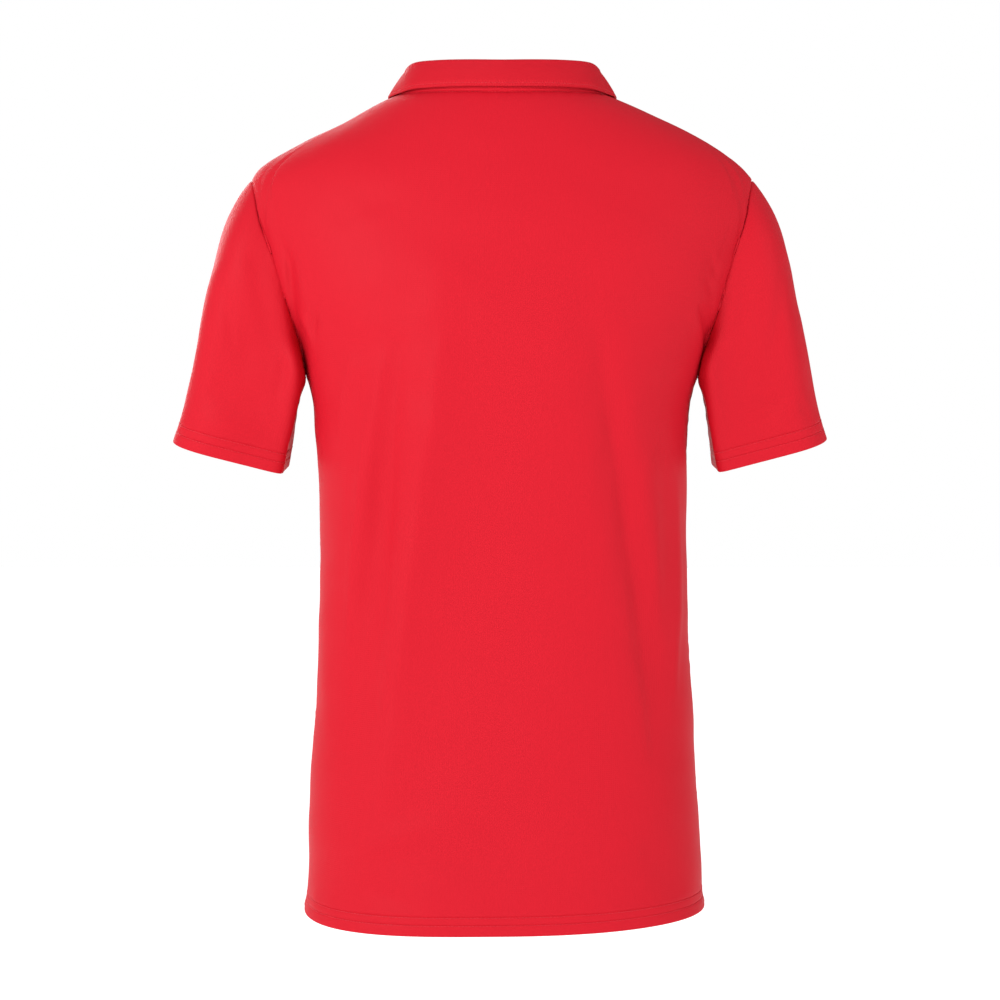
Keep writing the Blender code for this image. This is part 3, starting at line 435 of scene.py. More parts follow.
def lengths(grid, axis=0):
    """Length of a line from its start to each point, or of cloth from its first row (or column)."""
    steps = np.linalg.norm(np.diff(grid, axis=axis), axis=-1)
    return np.concatenate([np.zeros_like(np.take(steps, [0], axis)), np.cumsum(steps, axis)], axis)


def read_along(places, run, values):
    """Values on a line read at these lengths, run being the length at each of its points."""
    return np.stack([np.interp(places, run, values[:, axis]) for axis in range(3)], axis=-1)


def to_nearer_end(across):
    """Distance of each point from the nearer end of its row."""
    return np.minimum(across, across[:, -1:] - across)


def body(name, z):
    """One of the body's measures at height z."""
    return smooth(column(BODY, BODY_COLUMNS, "z"), column(BODY, BODY_COLUMNS, name), z)


def unit(vectors):
    """The same directions, one long."""
    vectors = np.asarray(vectors, float)
    return vectors / np.maximum(np.linalg.norm(vectors, axis=-1, keepdims=True), 1e-9)


def bell(distance, width):
    """1 at no distance, dying away softly over this width."""
    return np.exp(-((distance / width) ** 2))


# ---- the body's surface -----------------------------------------------------------------


def body_point(panel, turn, z):
    """A point on the body at height z. turn runs from -90 degrees (right seam) to 90 (left)."""
    half = np.where(turn > 0, body("left", z), body("right", z))
    seam = body("seam", z)
    power = 2 / body(panel + "_square", z)
    wide = np.sign(turn) * np.abs(np.sin(turn)) ** power
    deep = np.maximum(np.cos(turn), 0) ** power
    return np.stack([half * wide, seam + (body(panel, z) - seam) * deep, z + 0 * turn], axis=-1)


def side_heights():
    """Heights up the side seam, closer together at the hem and the underarm, where it turns."""
    climb = np.arange(SIDE_ROWS + 1) / SIDE_ROWS
    climb = (1 - SIDE_CROWD) * climb + SIDE_CROWD * (1 - np.cos(math.pi * climb)) / 2
    return HEM + (ARMPIT - HEM) * climb


def armhole_edge(panel):
    """Turn and height of the panel's edge up the armhole, from the underarm to the shoulder."""
    climb = math.pi * np.arange(ARM_ROWS + 1) / ARM_ROWS
    z = ARM_MIDDLE - ARM_HALF * np.cos(climb)
    reach = (ARM_BACK if panel == "back" else ARM_FRONT) * np.sin(climb)
    deep = reach / np.abs(body(panel, z) - body("seam", z))
    return np.arccos(deep ** (body(panel + "_square", z) / 2)), z


def even_steps(panel, turns, heights, columns):
    """Turns and heights at equal steps of cloth along a line on the panel.

    On the front, two of the steps next to the middle stand at the edges of the placket's box.
    """
    points = body_point(panel, turns, heights)
    length = lengths(points)
    wanted = np.linspace(0, length[-1], columns + 1)
    if panel == "front":
        right, left = np.interp((-BOX_HALF, BOX_HALF), points[:, 0], length)
        half = columns // 2
        wanted = np.concatenate([np.linspace(0, right, half), [(right + left) / 2],
                                 np.linspace(left, length[-1], half)])
    return np.interp(wanted, length, turns), np.interp(wanted, length, heights)


def lower_rows(panel):
    """Turns and heights of the rows from the hem to the underarm. Each dips at its middle."""
    fine = np.linspace(-math.pi / 2, math.pi / 2, FINE_STEPS + 1)
    middles = np.linspace(*MIDDLE[panel][:2], SIDE_ROWS + 1)
    rows = []
    skew = HEM_SKEW * np.sin(2 * fine) if panel == "back" else 0
    rise = HEM_RIGHT * np.clip(-np.sin(fine), 0, 1) ** 2 - skew
    for z_edge, z_middle in zip(side_heights(), middles):
        heights = z_edge + (z_middle - z_edge) * np.maximum(np.cos(fine), 0) ** HANG_POWER
        heights += rise * ((ARMPIT - z_edge) / (ARMPIT - HEM)) ** 2
        rows.append(even_steps(panel, fine, heights, PANEL_COLUMNS))
    return np.moveaxis(np.array(rows), 1, -1)


def top_edge(panel):
    """Turns and heights along one shoulder seam, the neckline and the other shoulder seam."""
    fine = np.linspace(-math.pi / 2, math.pi / 2, FINE_STEPS + 1)
    away = np.hypot(np.sin(fine), NECK_ROUND) - NECK_ROUND
    away /= math.hypot(1, NECK_ROUND) - NECK_ROUND
    neckline = 1 - np.maximum(1 - away, 0) ** NECK_CURVE
    z_middle = MIDDLE[panel][2]
    turns, heights = even_steps(
        panel, fine, z_middle + (NECK_SIDE - z_middle) * neckline, NECK_COLUMNS)
    shoulder = np.linspace(ARM_TOP, NECK_SIDE, SHOULDER_COLUMNS + 1)[:-1]
    side = np.full(SHOULDER_COLUMNS, math.pi / 2)
    return np.stack([np.concatenate([-side, turns, side]),
                     np.concatenate([shoulder, heights, shoulder[::-1]])], axis=-1)


def upper_rows(panel, bottom):
    """Rows from the underarm to the top edge, filled in evenly between the two armholes."""
    top = top_edge(panel)
    turn, z = armhole_edge(panel)
    right, left = np.stack([-turn, z], axis=-1), np.stack([turn, z], axis=-1)
    u = np.linspace(0, 1, PANEL_COLUMNS + 1)[None, :, None]
    v = np.linspace(0, 1, ARM_ROWS + 1)[:, None, None]
    corners = ((1 - u) * (1 - v) * bottom[0] + u * (1 - v) * bottom[-1]
               + (1 - u) * v * top[0] + u * v * top[-1])
    return (1 - v) * bottom + v * top + (1 - u) * right[:, None] + u * left[:, None] - corners


def fold_rise(folds, x, z):
    """How far the draping folds lift the cloth at each point of a panel."""
    rise = np.zeros(np.shape(x))
    for fold in folds:
        along = np.array([fold["x1"] - fold["x0"], fold["z1"] - fold["z0"]], float)
        length = np.linalg.norm(along)
        along /= length
        down = (x - fold["x0"]) * along[0] + (z - fold["z0"]) * along[1]
        off = ((x - fold["x0"]) * along[1] - (z - fold["z0"]) * along[0]) / fold["wide"]
        past = np.maximum(np.maximum(-down, down - length), 0) / (FOLD_FADE * fold["wide"])
        swell = FOLD_ENDS + (1 - FOLD_ENDS) * np.sin(math.pi * np.clip(down / length, 0, 1))
        rise += fold["rise"] * swell * np.exp(-(off**2) - past**2)
    return rise


def panel_grid(panel):
    """Outer points of the back or the front: rows from the hem up, columns from right to left."""
    lower = lower_rows(panel)
    rows = np.concatenate([lower, upper_rows(panel, lower[-1])[1:]])
    turns, heights = rows[..., 0], rows[..., 1]
    if panel == "front":
        square = body("front_square", heights)
        for step, side in ((-1, "right"), (1, "left")):
            at = (slice(None), PANEL_COLUMNS // 2 + step)
            share = BOX_HALF / body(side, heights[at])
            turns[at] = step * np.arcsin(share ** (square[at] / 2))
    grid = body_point(panel, turns, heights)
    folds = rows_of(FOLDS, FOLD_COLUMNS, panel)
    inside = np.sqrt(np.sin(math.pi * np.linspace(0, 1, grid.shape[1])))
    rise = fold_rise(folds, grid[..., 0], grid[..., 2]) * inside
    return grid + rise[..., None] * grid_normals(grid, panel == "back")


def grid_normals(grid, flip):
    """Directions out of the cloth at each point of a grid."""
    up = np.gradient(grid, axis=0)
    along = np.gradient(grid, axis=1)
    normal = unit(np.cross(along, up))
    return -normal if flip else normal


# ---- sleeves ----------------------------------------------------------------------------


def armhole(side, back, front):
    """The armhole's points, from the underarm up the back to the shoulder and down the front."""
    edge = -1 if side == "left" else 0
    span = slice(SIDE_ROWS, SIDE_ROWS + ARM_ROWS + 1)
    return np.concatenate([back[span, edge], front[span, edge][::-1][1:-1]])


def squared(grid, outward, behind):
    """The sleeve's rings with their corners drawn out, so that its back and front lie flatter."""
    across, deep = grid @ outward, grid @ behind
    share = np.minimum(np.linspace(0, 1, len(grid)) / SQUARE_FROM, 1)[:, None]
    reach = []
    for run in (across, deep):
        high, low = run.max(axis=1, keepdims=True), run.min(axis=1, keepdims=True)
        reach.append((run - (high + low) / 2, (high - low) / 2))
    (u, wide), (v, far) = reach
    round_size = np.hypot(u / wide, v / far)
    power = np.where((u < 0) & (v > 0), FOLD_SQUARE, SLEEVE_SQUARE)
    square_size = (np.abs(u / wide) ** power + np.abs(v / far) ** power) ** (1 / power)
    grow = (share * (round_size / square_size - 1))[..., None]
    return grid + grow * (u[..., None] * outward + v[..., None] * behind)


def sleeve_grid(side, back, front):
    """Rings of the sleeve from the armhole to the cuff; the last column repeats the first."""
    row = rows_of(SLEEVES, SLEEVE_COLUMNS, side)[0]
    sign = 1 if side == "left" else -1
    start = armhole(side, back, front)
    turns = np.arange(len(start)) * 360 / len(start)
    radians = np.radians(turns)
    axis = unit([sign * row["out"], -row["forward"], -1.0])
    outward = unit(np.array([sign, 0, 0]) - axis * axis[0] * sign)
    behind = unit(np.array([0, 1, 0]) - axis * axis[1])
    end = (
        np.array([row["cuff_x"], row["cuff_y"], row["cuff_z"]])
        - outward * row["half_wide"] * np.cos(radians)[:, None]
        + behind * row["half_deep"] * np.sin(radians)[:, None]
    )
    run = {name: smooth(column(RUN, RUN_COLUMNS, "turn"), column(RUN, RUN_COLUMNS, name), turns)
           for name in RUN_COLUMNS[1:]}
    leave = unit(np.stack([sign * run["out"], run["back"], run["up"]], axis=-1))
    leave *= run["leave"][:, None]
    arrive = np.stack([sign * run["cuff_out"], 0 * turns - row["forward"], 0 * turns - 1], axis=-1)
    arrive = unit(arrive) * run["arrive"][:, None]
    rings = []
    for i in range(SLEEVE_ROWS + 1):
        t = (i / SLEEVE_ROWS) ** SLEEVE_CROWD
        rings.append(hermite(t, start, leave, end, arrive))
    grid = squared(np.array(rings), outward, behind)
    rise = sleeve_rise(side, turns)
    middle = grid.mean(axis=1, keepdims=True)
    return grid + rise[..., None] * unit(grid - middle)


def sleeve_rise(side, turns):
    """How far the folds lift the sleeve's cloth, at each ring and each turn round it."""
    share = np.linspace(0, 1, SLEEVE_ROWS + 1)[:, None] + 0 * turns
    degree = SLEEVE_GIRTH / 360
    folds = [
        {"x0": fold["turn0"] * degree, "z0": fold["down0"] * SLEEVE_LENGTH,
         "x1": fold["turn1"] * degree, "z1": fold["down1"] * SLEEVE_LENGTH,
         "rise": fold["rise"], "wide": fold["wide"]}
        for fold in rows_of(SLEEVE_FOLDS, SLEEVE_FOLD_COLUMNS, side)
    ]
    rise = fold_rise(folds, turns * degree + 0 * share, share * SLEEVE_LENGTH)
    return rise * np.sin(math.pi / 2 * share)


# ---- collar -----------------------------------------------------------------------------


def neck_seam(back, front):
    """Neck seam from the front middle round the wearer's right, the back and the left."""
    half = PANEL_COLUMNS // 2
    first, last = SHOULDER_COLUMNS, PANEL_COLUMNS - SHOULDER_COLUMNS
    box_right, middle, box_left = front[-1, half - 1], front[-1, half], front[-1, half + 1]
    split = FRONT_SPLIT / BOX_HALF
    right = [middle + (box_right - middle) * split, *front[-1, half - 1 : first : -1]]
    left = [*front[-1, last - 1 : half : -1], middle + (box_left - middle) * split]
    return np.array([*right, *back[-1, first : last + 1], *left])


def collar_frame(seam):
    """Direction out of the neck in plan, along the seam towards the back, and the turn."""
    tangent = np.gradient(seam, axis=0) * (1, 1, 0)
    outward = unit(np.stack([-tangent[:, 1], tangent[:, 0], 0 * tangent[:, 0]], axis=-1))
    outward[[0, -1]] = (0, -1, 0)
    turn = np.degrees(np.arccos(np.clip(outward[:, 1], -1, 1)))
    to_back = unit(tangent) * np.where(np.arange(len(seam)) < len(seam) / 2, 1, -1)[:, None]
    return outward, to_back, turn


def collar(name, turn):
    """One of the collar's measures at each turn round the neck seam."""
    turns = column(COLLAR, COLLAR_COLUMNS, "turn")
    return smooth(turns, column(COLLAR, COLLAR_COLUMNS, name), turn)[:, None]


def stand_grid(seam):
    """The stand's outer face, from the neck seam up."""
    outward, _, turn = collar_frame(seam)
    up = np.array([0, 0, 1.0])
    top = seam - outward * collar("stand_in", turn) + up * collar("stand_up", turn)
    share = np.linspace(0, 1, STAND_ROWS + 1)[:, None, None]
    return seam + (top - seam) * share + outward * np.sin(math.pi * share) * STAND_BOW


def outside(points):
    """Distance out of the body's surface, to first order, and the direction away from it."""

    def level(at):
        """How far out these points are, 1 being the body's surface."""
        x, y, z = np.moveaxis(at, -1, 0)
        half = np.where(x > 0, body("left", z), body("right", z))
        seam = body("seam", z)
        behind = y > seam
        reach = np.where(behind, body("back", z), body("front", z)) - seam
        square = np.where(behind, body("back_square", z), body("front_square", z))
        return (np.abs(x / half) ** square + np.abs((y - seam) / reach) ** square) ** (1 / square)

    base = level(points)
    steps = PROBE * np.eye(3)
    slope = [(level(points + step) - level(points - step)) / (2 * PROBE) for step in steps]
    slope = np.stack(slope, axis=-1)
    size = np.linalg.norm(slope, axis=-1)
    return (base - 1) / size, slope / size[..., None]


def off_body(points, least, rests):
    """Points moved out to at least this clearance, and in to it where they rest on the body."""
    points = points.copy()
    for _ in range(PUSHES):
        distance, away = outside(points)
        short = least - distance
        short = np.where(short > 0, short, short * rests)
        points += away * short[..., None]
    return points


def leaf_grid(seam, stand):
    """The leaf's visible face: up from the stand, over the fold and down to the leaf's edge."""
    outward, to_back, turn = collar_frame(seam)
    up = np.array([0, 0, 1.0])
    start = stand[-1] - outward * (BAND + SEAM_GAP) + up * LEAF_START
    centre = start + outward * ROLL_OUT + up * ROLL_UP
    edge = (seam + outward * collar("out", turn) + up * collar("up", turn)
            + to_back * collar("along", turn))
    edge = off_body(edge, RIB + LEAF_CLEAR, collar("rests", turn)[:, 0])
    rows = [start]
    for angle in np.linspace(math.pi, 0, ROLL_ROWS + 1):
        rows.append(centre + ROLL_OUT * (outward * math.cos(angle) + up * math.sin(angle)))
    bend = rows[-1] + (edge - rows[-1]) * 0.5 + outward * FALL_BOW + up * FALL_BOW
    for t in np.linspace(0, 1, FALL_ROWS + 1)[1:]:
        rows.append((1 - t) ** 2 * rows[ROLL_ROWS + 1] + 2 * t * (1 - t) * bend + t**2 * edge)
    grid = np.array(rows)
    lower = grid[ROLL_ROWS + 2 : -1]
    grid[ROLL_ROWS + 2 : -1] = off_body(lower, RIB + LEAF_CLEAR, 0.0)
    return grid


# ---- placket ----------------------------------------------------------------------------


def box_row(front):
    """Row of the front at the bottom of the box cut for the placket."""
    middle = front[:, PANEL_COLUMNS // 2, 2]
    return int(np.argmin(np.abs(middle - (middle[-1] - PLACKET_DROP))))


def strip_grid(front, normals):
    """Points and normals of the front under a placket strip, from below the box to the neck."""
    half, low = PANEL_COLUMNS // 2, box_row(front)
    out = []
    for grid in (front, normals):
        spread = (PLACKET_HALF - BOX_HALF) / (front[-1, half - 1, 0] - front[-1, half - 2, 0])
        right = grid[:, half - 1] + (grid[:, half - 2] - grid[:, half - 1]) * spread
        left = grid[:, half + 1] + (grid[:, half + 2] - grid[:, half + 1]) * spread
        wide = np.stack([right, grid[:, half - 1], grid[:, half], grid[:, half + 1], left], axis=1)
        rows = wide[low - 1 :].copy()
        foot = PLACKET_FOOT / np.linalg.norm(front[low, half] - front[low - 1, half])
        head = PLACKET_HEAD / np.linalg.norm(front[-1, half] - front[-2, half])
        rows[0] = rows[1] + (rows[0] - rows[1]) * foot
        rows[-1] = rows[-1] + (rows[-2] - rows[-1]) * head
        out.append(rows)
    return out[0], unit(out[1])


# ---- fine cloth -------------------------------------------------------------------------


def spline(values, at):
    """Values along the first axis, read at these places by the smooth curve through them all."""
    count = len(values)
    flat = np.reshape(values, (count, -1)).astype(float)
    system = 4 * np.eye(count) + np.eye(count, k=1) + np.eye(count, k=-1)
    system[0, :2], system[-1, -2:] = (1, 0), (0, 1)
    bend = np.zeros_like(flat)
    bend[1:-1] = 6 * (flat[2:] - 2 * flat[1:-1] + flat[:-2])
    bend = np.linalg.solve(system, bend)
    at = np.asarray(at, float)
    i = np.clip(at.astype(int), 0, count - 2)
    t = (at - i)[:, None]
    curve = bend[i] * (1 - t) ** 3 + bend[i + 1] * t**3
    line = (flat[i] - bend[i] / 6) * (1 - t) + (flat[i + 1] - bend[i + 1] / 6) * t
    return (curve / 6 + line).reshape(len(at), *np.shape(values)[1:])


def dense(grid, rows_at, columns_at):
    """A grid read at these rows and columns by smooth curves through its points."""
    rows = spline(grid, rows_at)
    return np.moveaxis(spline(np.moveaxis(rows, 1, 0), columns_at), 0, 1)


def finer(count, first=(), last=()):
    """Places along this many quads: even steps, with more next to a seam at either end."""
    places = np.arange(count * CELL + 1) / CELL
    return np.unique(np.round([*places, *first, *(count - np.array(last))], 6))


def respace(grid, first, last, steps):
    """Rows slid along the cloth: at these distances from its first row and from its last one,
    and evenly between them."""
    columns = []
    for line in np.moveaxis(grid, 1, 0):
        run = lengths(line)
        middle = np.linspace(first[-1], run[-1] - last[-1], steps + 1)[1:-1]
        places = np.concatenate([first, middle, run[-1] - np.array(last)[::-1]])
        columns.append(read_along(places, run, line))
    return np.stack(columns, axis=1)


def hem_places(stitches):
    """Distances above a turned edge at which the hem's rows lie, close at its stitch rows."""
    near = [row + off for row in stitches for off in (-1.8, -0.8, 0.0, 0.8, 1.8)]
    return (0.0, 0.35, 0.9, 1.8, 3.4, 5.6, *near, stitches[-1] + 3.6, stitches[-1] + 6.4)


def ripple(x, z):
    """Rise of the cloth in the soft unevenness that lies all over it."""
    rise = 0 * x
    for wavelength, degrees, phase, height in RIPPLES:
        along = x * math.cos(math.radians(degrees)) + z * math.sin(math.radians(degrees))
        bent = 0.35 * np.sin(2 * math.pi * (z - x) / (2.7 * wavelength) + phase)
        rise = rise + height * np.sin(2 * math.pi * along / wavelength + phase + 2 * bent)
    return rise


def crease_rise(x, z, crease):
    """How far one crease lifts the cloth at (x, z). It fades to nothing at both its ends."""
    control = np.array(crease["path"], float)
    path = spline(control, np.linspace(0, len(control) - 1, 8 * len(control)))
    best, share, right = np.full(x.shape, np.inf), np.zeros(x.shape), np.zeros(x.shape, bool)
    for k, (a, b) in enumerate(zip(path[:-1], path[1:])):
        step = b - a
        t = np.clip(((x - a[0]) * step[0] + (z - a[1]) * step[1]) / (step @ step), 0, 1)
        past = x - a[0] - t * step[0]
        off = np.hypot(past, z - a[1] - t * step[1])
        nearer = off < best
        right = np.where(nearer, past < 0, right)
        best = np.where(nearer, off, best)
        share = np.where(nearer, (k + t) / (len(path) - 1), share)
    swell = np.sin(math.pi * share) ** CREASE_SWELL
    wide = np.where(right, *np.broadcast_to(crease["wide"], 2)[::-1])
    return crease["rise"] * swell * bell(best, wide * (CREASE_END + (1 - CREASE_END) * swell))


def hollowed(grid):
    """The cloth sunk in at the underarms. Panels and sleeves move alike, so that they stay sewn."""
    grid = grid.copy()
    for half, side in (("back", 1), ("front", -1)):
        ease = np.clip(grid[..., 1] * side / HOLLOW_EASE, 0, 1)
        for hollow in rows_of(HOLLOWS, HOLLOW_COLUMNS, half):
            sunk = crease_rise(grid[..., 0], grid[..., 2], {**hollow, "rise": hollow["deep"]})
            grid[..., 1] -= side * sunk * ease
    return grid


def uneven_wave(line, along):
    """Height of the uneven wave of this name at each length along its line."""
    wave = rows_of(WAVES, WAVE_COLUMNS, line)[0]
    first = np.sin(along / wave["long"] + wave["stray"] * np.sin(along / wave["over"]))
    return first + wave["second"] * np.sin(along / wave["second_long"] + wave["start"])


def seam_shape(distance, along):
    """Dip of the cloth into a seam this far away, with the small puckers that the thread pulls."""
    turned = bell(distance, SEAM_ROLL)
    pucker = PUCKER * uneven_wave("seam", along) * bell(distance, PUCKER_REACH)
    return pucker * (1 - turned) - SEAM_DIP * turned


def edge_shape(piece, distance, *more):
    """Rise of a small piece this far from its edge: turned in there and grooved at its stitches.
    more gives the distances from any other row of stitches."""
    edge = rows_of(EDGES, EDGE_COLUMNS, piece)[0]
    rise = -edge["deep"] * bell(distance, edge["wide"])
    for off in (distance - edge["row"], *more):
        rise = rise - edge["groove"] * bell(off, edge["half"])
    return rise


def hem_shape(distance, along, stitches):
    """Rise of the cloth above a turned edge: rounded at the fold, grooved under each stitch row,
    slightly full between them and drawn into soft waves above."""
    over = np.clip(distance / HEM_ROLL, 0, 1)
    rise = -HEM_ROLL * (1 - np.sqrt(np.maximum(1 - (1 - over) ** 2, 0)))
    for row in stitches:
        rise = rise - STITCH_GROOVE * bell(distance - row, STITCH_HALF)
    full = np.exp(-((2 * distance / stitches[0] - 1) ** 4))
    wave = uneven_wave("hem", along) * bell(distance - stitches[1], HEM_WAVE_REACH)
    return rise + HEM_FULL * full + HEM_WAVE * wave


def wall(settings, stitches, up):
    """Thickness of the cloth this far above its edge, with the hem's second layer."""
    double = np.clip((stitches[1] + LAYER_PAST - up) / LAYER_STEP, 0, 1)
    return settings.knit_thickness / MM + HEM_LAYER * double


def fine_panel(panel, coarse):
    """The back or the front as a fine grid, and the number of its rows below the underarm."""
    columns = finer(PANEL_COLUMNS, NEAR_SEAM, NEAR_SEAM)
    if panel == "front":
        edges = [PANEL_COLUMNS // 2 + side * (1 + off) for side in (-1, 1) for off in BESIDE_BOX]
        columns = np.unique(np.round([*columns, *edges], 6))
    lower = dense(coarse, np.arange(SIDE_ROWS * CELL + 1) / CELL, columns)
    upper = dense(coarse, SIDE_ROWS + np.arange(ARM_ROWS * CELL + 1) / CELL, columns)
    hem = hem_places(HEM_STITCHES)
    lower = respace(lower, hem, (0.0,), round(-(HEM - ARMPIT) / ROW_STEP))
    upper = respace(upper, (0.0,), SEAM_PLACES, ARM_ROWS * CELL)
    return np.concatenate([lower, upper[1:]]), len(lower) - 1


def shape_panel(panel, grid):
    """Creases, seams and the hem laid on a panel, and the lengths up from its hem."""
    normals = grid_normals(grid, panel == "back")
    up, across = lengths(grid), lengths(grid, 1)
    to_top = up[-1] - up
    to_side = to_nearer_end(across)
    x, z = grid[..., 0], grid[..., 2]
    rise = ripple(x if panel == "back" else x + FRONT_SHIFT, z)
    for crease in rows_of(CREASES, CREASE_COLUMNS, panel):
        rise += crease_rise(x, z, crease)
    edge = np.minimum(to_side, to_top)
    rise *= 1 - bell(edge, CREASE_FADE)
    seams = seam_shape(to_side, up) + seam_shape(to_top, across)
    rise += np.maximum(seams, -SEAM_DIP - PUCKER)
    rise += hem_shape(up, across, HEM_STITCHES)
    beside = np.exp(-((to_side / ALLOWANCE_WIDE) ** 6)) * (1 - bell(to_side, ALLOWANCE_FROM))
    inside = np.minimum(z - ARMPIT, ALLOWANCE_TOP - z) / ALLOWANCE_EASE
    rise += ALLOWANCE_HIGH * beside * np.clip(inside, 0, 1)
    if panel == "front":
        flat = bell(np.maximum(np.abs(x) - PLACKET_HALF - 1, 0), FLAT_BESIDE)
        flat *= np.clip((PLACKET_DROP + FLAT_BELOW - to_top) / FLAT_FADE, 0, 1)
        rise -= flat * (rise - seam_shape(to_top, across))
    return hollowed(grid + rise[..., None] * normals), up


def fine_sleeve(coarse, ring):
    """A sleeve as a fine grid that starts on this ring of the panels' armhole edges."""
    knots = np.concatenate([coarse[:, -SLEEVE_PAD:], coarse, coarse[:, : 1 + SLEEVE_PAD]], axis=1)
    rows_at = np.arange(SLEEVE_ROWS * CELL + 1) / CELL
    round_at = np.arange(coarse.shape[1] * SLEEVE_CELL + 1) / SLEEVE_CELL
    run = lengths(dense(knots, [0.0], SLEEVE_PAD + round_at), 1)[0]
    mine = lengths(ring)
    places = np.interp(mine / mine[-1] * run[-1], run, round_at)
    rows = dense(knots, rows_at, SLEEVE_PAD + places)
    share = np.linspace(0, 1, len(rows))[:, None, None]
    rows = rows + (ring - rows[0]) * np.maximum(1 - share * ARMHOLE_EASE, 0) ** 2
    cuff = hem_places(CUFF_STITCHES)
    length = lengths(rows)[-1].max()
    grid = respace(rows[::-1], cuff, SEAM_PLACES, round(length / ROW_STEP))
    return grid[::-1]


def shape_sleeve(side, grid):
    """Creases, seams and the cuff's hem laid on a sleeve, and the lengths up from its cuff."""
    normals = grid_normals(grid, side == "right")
    down, across = lengths(grid), lengths(grid, 1)
    up = down[-1] - down
    to_seam = to_nearer_end(across)
    x, y, z = np.moveaxis(grid, -1, 0)
    rise = ripple(x * 0.6 + y, z)
    for crease in rows_of(SLEEVE_CREASES, SLEEVE_CREASE_COLUMNS, side):
        facing = normals[..., 1] * (1 if crease["half"] == "back" else -1)
        rise += crease_rise(x, z, crease) * np.clip(SLEEVE_FACING * facing, 0, 1)
    rise *= 1 - bell(np.minimum(down, to_seam), CREASE_FADE)
    full = np.clip((up - UNDERARM_FROM) / UNDERARM_OVER, UNDERARM_LEAST, 1)
    rise += seam_shape(down, across) + seam_shape(to_seam, down) * full
    rise += hem_shape(up, across, CUFF_STITCHES)
    return hollowed(grid + rise[..., None] * normals), up


def tucked(grid, flip, *others):
    """A grid with its first edge turned in under the cloth that it is sewn to, and the values
    that go with its points."""
    back = unit(grid[0] - grid[1]) * SEAM_TUCK[1] - grid_normals(grid, flip)[0] * SEAM_TUCK[0]
    share = SEAM_TUCK[1] / (SEAM_PLACES[1] - SEAM_PLACES[0])
    grown = [np.concatenate([value[:1] + share * (value[:1] - value[1:2]), value]) for value in others]
    return [np.concatenate([grid[:1] + back, grid]), *grown]


# ---- meshes -----------------------------------------------------------------------------


def sheet_mesh(name, grid, thickness, flip, chart, skip=None):
    """A closed shell: the grid's points, the same points moved in by the thickness (a number or
    one for each point), and a band round every open edge. chart gives each point's place on the
    flat cloth."""
    rows, columns = grid.shape[:2]
    inner = grid - grid_normals(grid, flip) * np.broadcast_to(thickness, (rows, columns))[..., None]
    number = np.arange(rows * columns).reshape(rows, columns)
    quads = np.stack([number[:-1, :-1], number[:-1, 1:], number[1:, 1:], number[1:, :-1]], axis=-1)
    quads = quads.reshape(-1, 4) if skip is None else quads[~skip].reshape(-1, 4)
    if flip:
        quads = quads[:, ::-1]
    count = rows * columns
    edges = np.concatenate([quads[:, [k, (k + 1) % 4]] for k in range(4)])
    forward = edges[:, 0] * count + edges[:, 1]
    border = edges[~np.isin(forward, edges[:, 1] * count + edges[:, 0])]
    bands = np.stack([border[:, 1], border[:, 0], border[:, 0] + count, border[:, 1] + count], axis=-1)
    faces = np.concatenate([quads, quads[:, ::-1] + count, bands])
    used, faces = np.unique(faces, return_inverse=True)
    faces = faces.reshape(-1, 4)
    points = np.concatenate([grid.reshape(-1, 3), inner.reshape(-1, 3)])[used]
    flat = np.tile(chart.reshape(-1, 2), (2, 1))[used]
    mesh = bpy.data.meshes.new(name)
    mesh.from_pydata((points * MM).tolist(), [], faces.tolist())
    layer = mesh.uv_layers.new(name="cloth")
    layer.data.foreach_set("uv", (flat[faces.reshape(-1)] * MM).ravel())
    mesh.shade_smooth()
    mesh.set_sharp_from_angle(angle=math.radians(SHARP_DEG))
    return mesh


def tube_mesh(name, paths, radii):
    """One mesh of closed tubes along these paths. A radius of each ring tapers its ends."""
    points, faces = [], []
    turn = np.arange(STITCH_SIDES) * 2 * math.pi / STITCH_SIDES
    for path, radius in zip(paths, radii):
        along = unit(np.gradient(path, axis=0))
        side = unit(np.cross(along, (0.31, 0.17, 0.93)))
        other = np.cross(along, side)
        rings = (path[:, None] + radius[:, None, None]
                 * (side[:, None] * np.cos(turn)[:, None] + other[:, None] * np.sin(turn)[:, None]))
        base, last = len(points), len(path) - 1
        points += rings.reshape(-1, 3).tolist()
        for r in range(last):
            for s in range(STITCH_SIDES):
                t = (s + 1) % STITCH_SIDES
                a, b = base + r * STITCH_SIDES, base + (r + 1) * STITCH_SIDES
                faces.append((a + s, a + t, b + t, b + s))
        faces.append(tuple(base + s for s in range(STITCH_SIDES))[::-1])
        faces.append(tuple(base + last * STITCH_SIDES + s for s in range(STITCH_SIDES)))
    mesh = bpy.data.meshes.new(name)
    mesh.from_pydata((np.array(points) * MM).tolist(), [], faces)
    mesh.shade_smooth()
    return mesh


def stitch_row(name, path, normals, settings):
    """A row of short stitches along a path on the cloth, their ends sunk into it."""
    run = lengths(path)
    count = max(1, round(run[-1] * MM / settings.stitch_pitch))
    pitch = run[-1] / count
    wide = settings.thread_width / MM / 2
    share = np.linspace(0, 1, STITCH_RINGS)
    paths, radii = [], []
    for k in range(count):
        at = (k + STITCH_GAP + (1 - 2 * STITCH_GAP) * share) * pitch
        point, normal = read_along(at, run, path), unit(read_along(at, run, normals))
        swell = np.sin(math.pi * (0.12 + 0.76 * share))
        paths.append(point + normal * (wide * (STITCH_RISE * swell - STITCH_SINK))[:, None])
        radii.append(wide * (STITCH_END + (1 - STITCH_END) * swell))
    return tube_mesh(name, paths, radii)


